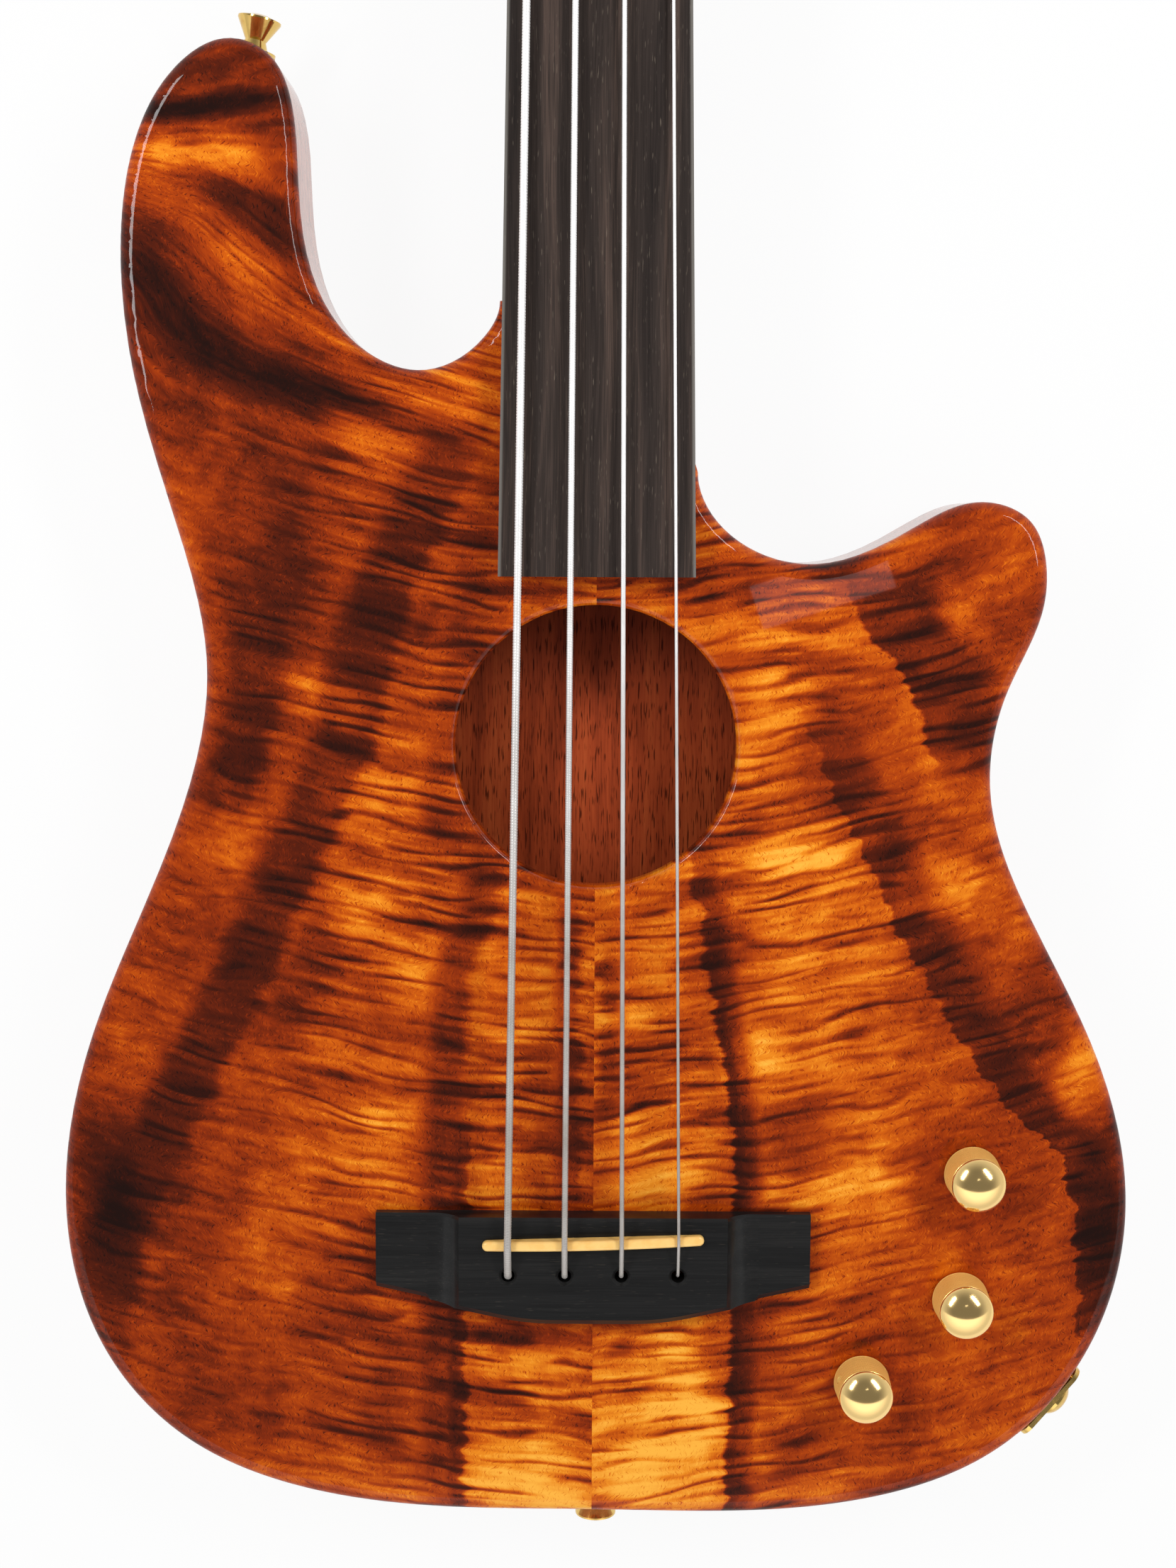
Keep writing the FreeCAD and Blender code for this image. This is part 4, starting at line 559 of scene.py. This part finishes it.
plains = {
    "amberBone": {"first": (250, 196, 108), "second": (253, 208, 124),
                  "grain": 6.0, "rough": 0.3, "coat": 0.3},
    "palePlastic": {"first": (228, 224, 212), "second": (240, 237, 228),
                    "grain": 3.0, "rough": 0.3, "coat": 0.2},
    "cable": {"first": (20, 20, 21), "second": (36, 35, 35),
              "grain": 0.8, "rough": 0.55, "coat": 0.0},
    "blackPlastic": {"first": (20, 20, 21), "second": (32, 32, 33),
                     "grain": 0.5, "rough": 0.42, "coat": 0.0},
    "battery": {"first": (34, 36, 40), "second": (54, 56, 62),
                "grain": 4.0, "rough": 0.32, "coat": 0.2},
    "circuit": {"first": (14, 74, 38), "second": (36, 116, 62),
                "grain": 1.4, "rough": 0.35, "coat": 0.3},
}


def plainPlastic(name, look):
    paint = Paint(name)
    x, y, z = paint.axes()
    size = 1 / look["grain"]
    cloud = paint.noise(paint.vector(x * size, y * size, z * size), 4.0, 0.6)
    speck = paint.noise(paint.vector(x * size * 5, y * size * 5, z * size * 5), 1.0)
    colour = paint.blend(paint.step(cloud, 0.38, 0.64), flat(*look["first"]), flat(*look["second"]))
    normal = paint.bump(speck, 0.03, 0.2)
    return paint.finish(Base_Color=colour, Roughness=look["rough"] + (cloud - 0.5) * 0.2, Normal=normal,
                        Coat_Weight=look["coat"], Coat_Roughness=0.08)


# Finishes by the record's slots, and the nodes that have one of their own

finishes = {
    "body_wood": plainFinish("body_wood_finish", plainWood["body"], bareWood),
    "neck_wood": plainFinish("neck_wood_finish", plainWood["neck"]),
    "dark_wood": darkFinish("board_finish", darkWood["board"]),
    "amber_bone": plainPlastic("amber_bone_finish", plains["amberBone"]),
    "pale_plastic": plainPlastic("pale_plastic_finish", plains["palePlastic"]),
    "cable_black": plainPlastic("cable_finish", plains["cable"]),
    "black_plastic": plainPlastic("black_plastic_finish", plains["blackPlastic"]),
    "battery_case": plainPlastic("battery_finish", plains["battery"]),
    "circuit_board": plainPlastic("circuit_finish", plains["circuit"]),
    "string_steel": metalFinish("string_finish", metals["string"]),
    "brass_fittings": metalFinish("brass_finish", metals["brass"]),
    "gold_fittings": metalFinish("gold_finish", metals["gold"]),
    "plain_steel": metalFinish("steel_finish", metals["steel"]),
    "knob_metal": knobFinish("knob_finish", metals["knob"]),
}
ownFinishes = {
    "top_bass_half": topFinish("top_bass_finish", "bass", topFigure),
    "top_treble_half": topFinish("top_treble_finish", "treble", topFigure),
    "bridge": darkFinish("bridge_finish", darkWood["bridge"]),
    "headstock_veneer": darkFinish("veneer_finish", darkWood["veneer"]),
}
for nodeName, part in nodes.items():
    slot = part.material_slots[0]
    slot.material = ownFinishes.get(nodeName) or finishes[slot.material.name.split(".")[0]]
print("finishes made and given to", len(nodes), "nodes")


# New pieces are grids of points, rows along and columns around, closed at both ends by a middle point

def gridPiece(name, grid, finish, body, replaced, sharp=None, stretch=None):
    # faces turn outwards when columns run anticlockwise seen from the end of the rows; stretch is the
    # length along each row, kept as the UV map that the wound finish reads
    rows, columns = grid.shape[:2]
    points = np.concatenate((grid.reshape(-1, 3), grid[0].mean(0)[None], grid[-1].mean(0)[None])) * mm
    i, j = np.meshgrid(np.arange(rows - 1), np.arange(columns), indexing="ij")
    after = (j + 1) % columns
    here, above = i * columns, (i + 1) * columns
    quads = np.stack((here + j, here + after, above + after, above + j), -1)
    ring = np.arange(columns)
    following = (ring + 1) % columns
    start = np.stack((following, ring, np.full(columns, rows * columns)), -1)
    last = (rows - 1) * columns
    end = np.stack((last + ring, last + following, np.full(columns, rows * columns + 1)), -1)
    mesh = bpy.data.meshes.new(name)
    mesh.from_pydata(points.tolist(), [], quads.reshape(-1, 4).tolist() + start.tolist() + end.tolist())
    if stretch is not None:
        around = np.stack((j, j + 1, j + 1, j), -1) / columns
        along = stretch[np.stack((i, i, i + 1, i + 1), -1)]
        spread = np.stack((along, around), -1).reshape(-1, 2)
        closing = np.zeros((6 * columns, 2))
        closing[3 * columns:, 0] = stretch[-1]
        layer = mesh.uv_layers.new(name="along")
        layer.data.foreach_set("uv", np.concatenate((spread, closing)).ravel())
    mesh.shade_smooth()
    if sharp:
        mesh.set_sharp_from_angle(angle=math.radians(sharp))
    mesh.materials.append(finish)
    mesh.update()
    piece = bpy.data.objects.new(name, mesh)
    bpy.context.scene.collection.objects.link(piece)
    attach(piece, body)
    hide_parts(replaced)


# Wound strings: straight runs joined by arcs, then a helix up the post; the radius dips by a share of
# the winding's width, times one less the cosine of the winding's turn

stringSetup = {
    "names": ("e", "a", "d", "g"),
    "radius": (1.335, 1.08, 0.825, 0.57),
    "wrap": (0.92, 0.78, 0.66, 0.55),  # width of one winding
    "rowsPerWrap": (4, 4, 3, 3),
    "columns": (12, 10, 8, 8),
    "dip": 0.085,  # share of the winding's width
    "postSide": (-1, -1, 1, 1),
    "postReach": (58.0, 122.0, 122.0, 58.0),  # along the headstock from its own origin
    "postAcross": 27.0,
    "bridgeSpread": 57.6,
    "nutSpread": 33.5,
    "holeBehind": 12.1,  # behind the saddle
    "ballTop": 7.3,
    "holeTop": 58.45,
    "saddleTop": 63.3,
    "saddleSlant": 1.8,  # degrees, as is the headstock's tilt
    "saddleLift": 0.4,
    "nutPlace": 866.1,
    "nutTop": 60.8,
    "crownRadius": 305.0,  # of the saddle's and the nut's tops
    "bends": (3.5, 6.0, 10.0),  # radii at the hole, the saddle and the nut
    "bendPoints": 25,
    "headPlace": (0.0, 868.6, 52.0),
    "headTilt": -4.0,
    "waist": 5.15,  # radius of the post where the string winds on
    "waistBottom": 3.65,
    "space": 0.45,  # between one turn and the next
    "quarters": 9,  # quarter turns on the post
    "quarterPoints": 36,
}


def headPoint(local, setup):
    # from the headstock's own axes: turned by its tilt about X, then moved to its place
    tilt = math.radians(setup["headTilt"])
    turn = np.array(((1, 0, 0), (0, math.cos(tilt), -math.sin(tilt)), (0, math.sin(tilt), math.cos(tilt))))
    return local @ turn.T + np.array(setup["headPlace"])


def stringRoute(which, setup):
    # ball end, hole, saddle, nut, then the line that touches the post's circle, and its turns
    radius = setup["radius"][which]
    share = which / 3 - 0.5
    xBridge, xNut = share * setup["bridgeSpread"], share * setup["nutSpread"]
    crown = [setup["crownRadius"] - math.sqrt(setup["crownRadius"] ** 2 - x * x) for x in (xBridge, xNut)]
    saddle = (xBridge, xBridge * math.tan(math.radians(setup["saddleSlant"])),
              setup["saddleTop"] - crown[0] + radius + setup["saddleLift"])
    nut = np.array((xNut, setup["nutPlace"], setup["nutTop"] - crown[1] + radius))
    side = setup["postSide"][which]
    centre = np.array((side * setup["postAcross"], setup["postReach"][which]))
    tilt = math.radians(setup["headTilt"])
    offset = nut - np.array(setup["headPlace"])
    local = np.array((offset[0], offset[1] * math.cos(tilt) + offset[2] * math.sin(tilt)))
    reach = centre - local
    ring = setup["waist"] + radius
    sense = -side
    heading = math.atan2(reach[1], reach[0]) - sense * math.asin(ring / math.hypot(*reach))
    first = math.atan2(-sense * math.cos(heading), sense * math.sin(heading))
    pitch = 2 * radius + setup["space"]
    bottom = setup["waistBottom"] + radius
    turns = np.linspace(0, setup["quarters"] / 4, setup["quarterPoints"] * setup["quarters"])
    angle = first + sense * turns * 2 * math.pi
    coilX, coilY = centre[0] + ring * np.cos(angle), centre[1] + ring * np.sin(angle)
    coil = headPoint(np.stack((coilX, coilY, bottom + pitch * turns), -1), setup)
    tip = coil[-1] + (coil[-1] - coil[-2]) / np.linalg.norm(coil[-1] - coil[-2]) * 2 * radius
    corners = [np.array(p, float) for p in (
        (xBridge, -setup["holeBehind"], setup["ballTop"]),
        (xBridge, -setup["holeBehind"], setup["holeTop"] + radius),
        saddle, nut, coil[0])]
    run = [corners[0][None]]
    for index, bend in enumerate(setup["bends"], 1):
        back = corners[index - 1] - corners[index]
        ahead = corners[index + 1] - corners[index]
        back /= np.linalg.norm(back)
        ahead /= np.linalg.norm(ahead)
        half = math.acos(np.clip(back @ ahead, -1, 1)) / 2
        middle = (back + ahead) / np.linalg.norm(back + ahead)
        centrePoint = corners[index] + middle * bend / math.sin(half)
        swing = math.pi / 2 - half
        beside = back - middle * (back @ middle)
        beside /= np.linalg.norm(beside)
        bow = np.linspace(swing, -swing, setup["bendPoints"])[:, None]
        run.append(centrePoint - middle * bend * np.cos(bow) + beside * bend * np.sin(bow))
    return np.concatenate(run + [coil, tip[None]])


def evenly(route, step):
    # the route again with points a step apart, and the length up to each
    length = np.concatenate(([0], np.cumsum(np.linalg.norm(np.diff(route, axis=0), axis=1))))
    keep = np.concatenate(([True], np.diff(length) > 1e-6))
    places = np.linspace(0, length[-1], int(length[-1] / step) + 1)
    return np.stack([np.interp(places, length[keep], route[keep, k]) for k in range(3)], -1), places


def makeString(which, setup, finish):
    name = setup["names"][which]
    wrap, radius, columns = setup["wrap"][which], setup["radius"][which], setup["columns"][which]
    spots, places = evenly(stringRoute(which, setup), wrap / setup["rowsPerWrap"][which])
    heading = np.gradient(spots, axis=0)
    heading /= np.linalg.norm(heading, axis=1)[:, None]
    first = np.cross((1.0, 0.0, 1.0), heading)
    first /= np.linalg.norm(first, axis=1)[:, None]
    second = np.cross(heading, first)
    around = np.arange(columns) * 2 * math.pi / columns
    swell = 1 - np.cos(2 * math.pi * places[:, None] / wrap + around[None])
    reach = radius - wrap * setup["dip"] * swell
    ring = first[:, None] * np.cos(around)[None, :, None] + second[:, None] * np.sin(around)[None, :, None]
    grid = spots[:, None] + ring * reach[:, :, None]
    gridPiece("wound_string_" + name, grid, finish, "instrument", "string_" + name,
              stretch=places * mm)


def woundFinish(name, look):
    paint = Paint(name)
    # paler over the board, duller over the body and in patches; length runs along the string
    length = paint.split(paint.node("ShaderNodeUVMap", {"uv_map": "along"}))[0] * (1 / mm)
    x, y, z = paint.axes()
    dull = paint.noise(paint.vector(length * (1 / 14), z * 0.1), 3.0, 0.6)
    fine = paint.noise(paint.vector(length * 2.0, x * 2.0, z * 2.0), 2.0)
    dulling = (1 - paint.step(y, 60, 300)) * 0.85 + (dull - 0.5) * 0.5
    colour = paint.blend(paint.clamp(dulling), flat(*look["colour"]), flat(*look["dullColour"]))
    rough = look["rough"] + (fine - 0.5) * look["smudge"]
    return paint.finish(Base_Color=colour, Roughness=rough, Metallic=0.3)


woundSteel = woundFinish("wound_steel_finish", metals["string"])
for which in range(4):
    makeString(which, stringSetup, woundSteel)
print("strings wound")


# Knobs: a profile turned about the shaft; the side sinks by the depth times one less the smaller of
# |sin a| and |sin b|, where a and b run up the knob as crossed helices

knobSetup = {
    "places": {"volume": (129.0, 22.0), "bass": (126.0, -22.2), "treble": (92.8, -52.0)},
    "topLevel": 50.0,
    "baseRadius": 9.6,
    "topRadius": 9.1,
    "bottom": 0.8,
    "side": 13.4,
    "groove": 0.3,
    "band": 0.9,
    "height": 18.6,
    "boreRadius": 3.15,
    "boreTop": 13.8,
    "recessRadius": 7.2,
    "recessTop": 4.2,
    "teeth": 72,
    "columns": 432,
    "rows": 96,
    "depth": 0.34,
    "helix": 3.8,  # radians of a per millimetre of height
    "plainEnds": 0.35,  # over which the knurl fades out at both ends
    "chamfer": (0.3, 0.15),  # below and above the knurl
    "domeRows": 26,
    "domeEdge": 0.25,
    "sharp": 50,
    "grubRise": 7.0,
    "grubTurn": {"volume": -60.0, "bass": -60.0, "treble": 158.0},
    "grubRadius": 1.45,
    "grubDepth": 2.2,
}


def makeKnob(name, setup, finish):
    # the profile goes from the top of the bore out and round the foot, up the side and over the dome;
    # the hole of the grub screw is sunk into the side
    low, side = setup["bottom"], setup["side"]
    below, above = setup["chamfer"]
    height = np.linspace(low + below, side - above, setup["rows"])
    slope = (setup["topRadius"] - setup["baseRadius"]) / (side - low)
    sides = np.stack((setup["baseRadius"] + slope * (height - low), height), -1)
    shoulder = side + setup["groove"] + setup["band"]
    rise = setup["height"] - shoulder
    dome = (setup["topRadius"] ** 2 + rise ** 2) / (2 * rise)
    sweep = np.linspace(math.asin((setup["topRadius"] - setup["domeEdge"]) / dome), 0.004, setup["domeRows"])
    cap = np.stack((dome * np.sin(sweep), setup["height"] - dome + dome * np.cos(sweep)), -1)
    rim, bandFoot = setup["topRadius"], side + setup["groove"]
    waist = rim - setup["groove"]
    foot = [(0.02, setup["boreTop"]), (setup["boreRadius"], setup["boreTop"]),
            (setup["boreRadius"], setup["recessTop"]), (setup["recessRadius"], setup["recessTop"]),
            (setup["recessRadius"], low), (setup["baseRadius"] - below, low)]
    neck = [(rim - 0.12, side), (waist, side + 0.04), (waist, bandFoot - 0.04), (rim - 0.1, bandFoot),
            (rim, bandFoot + 0.1), (rim, shoulder - 0.12), (rim - 0.07, shoulder - 0.02)]
    profile = np.concatenate((foot, sides, neck, cap))
    around = np.arange(setup["columns"]) * 2 * math.pi / setup["columns"]
    radius = np.repeat(profile[:, :1], setup["columns"], 1)
    level = np.repeat(profile[:, 1:], setup["columns"], 1)
    teeth = around[None] * setup["teeth"] / 2
    climb = level * setup["helix"]
    diamonds = np.minimum(abs(np.sin(teeth + climb)), abs(np.sin(teeth - climb)))
    knurled = np.zeros(len(profile))
    knurled[len(foot):len(foot) + len(sides)] = 1
    fade = np.clip((level - low - below) / setup["plainEnds"], 0, 1)
    fade = fade * np.clip((side - above - level) / setup["plainEnds"], 0, 1)
    turn = math.radians(setup["grubTurn"][name])
    swing = (around[None] - turn + math.pi) % (2 * math.pi) - math.pi
    off = np.hypot(swing * setup["baseRadius"], level - setup["grubRise"])
    clear = np.clip((off - setup["grubRadius"] - 0.1) / 0.3, 0, 1)
    radius += knurled[:, None] * ((diamonds - 1) * setup["depth"] * fade * clear)
    sunk = np.clip((setup["grubRadius"] - off) / 0.15, 0, 1)
    radius -= knurled[:, None] * sunk * setup["grubDepth"]
    x, y = setup["places"][name]
    grid = np.stack((x + radius * np.cos(around), y + radius * np.sin(around), setup["topLevel"] + level), -1)
    gridPiece("knurled_knob_" + name, grid, finish, name + "_control", "knob_" + name,
              sharp=setup["sharp"])


for name in knobSetup["places"]:
    makeKnob(name, knobSetup, finishes["knob_metal"])
print("knobs knurled")


# Leads inside the body: a smooth curve on the routes of the part

leads = {
    "piezo": {
        "points": ((34.88, 1.1, 54.0), (34.88, 1.1, 37.2), (51.68, 1.1, 37.2), (114.5, 1.1, 37.2)),
        "length": 95.0,
        "diameter": 1.2,
    },
    "jack": {
        "points": ((140.16, -45.78, 29.0), (134.41, -40.97, 29.0), (126.6, -22.2, 29.0),
                   (127.5, 3.4, 28.4), (127.5, 3.4, 36.4)),
        "length": 61.0,
        "diameter": 1.2,
    },
}


def makeLead(name, setup, finish):
    curve = bpy.data.curves.new(name + "_wire", "CURVE")
    curve.dimensions = "3D"
    curve.bevel_depth = setup["diameter"] / 2 * mm
    curve.bevel_resolution = 3
    curve.use_fill_caps = True
    spline = curve.splines.new("NURBS")
    spline.points.add(len(setup["points"]) - 1)
    for point, place in zip(spline.points, setup["points"]):
        point.co = (*[c * mm for c in place], 1.0)
    spline.order_u = 3
    spline.use_endpoint_u = True
    curve.materials.append(finish)
    wire = bpy.data.objects.new(name + "_wire", curve)
    bpy.context.scene.collection.objects.link(wire)
    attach(wire, "instrument")
    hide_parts(name + "_lead")
    [c * mm for c in setup["points"][0]]
    setup["length"] * mm
    setup["diameter"] * mm


for name, setup in leads.items():
    makeLead(name, setup, finishes["cable_black"])
print("leads laid")
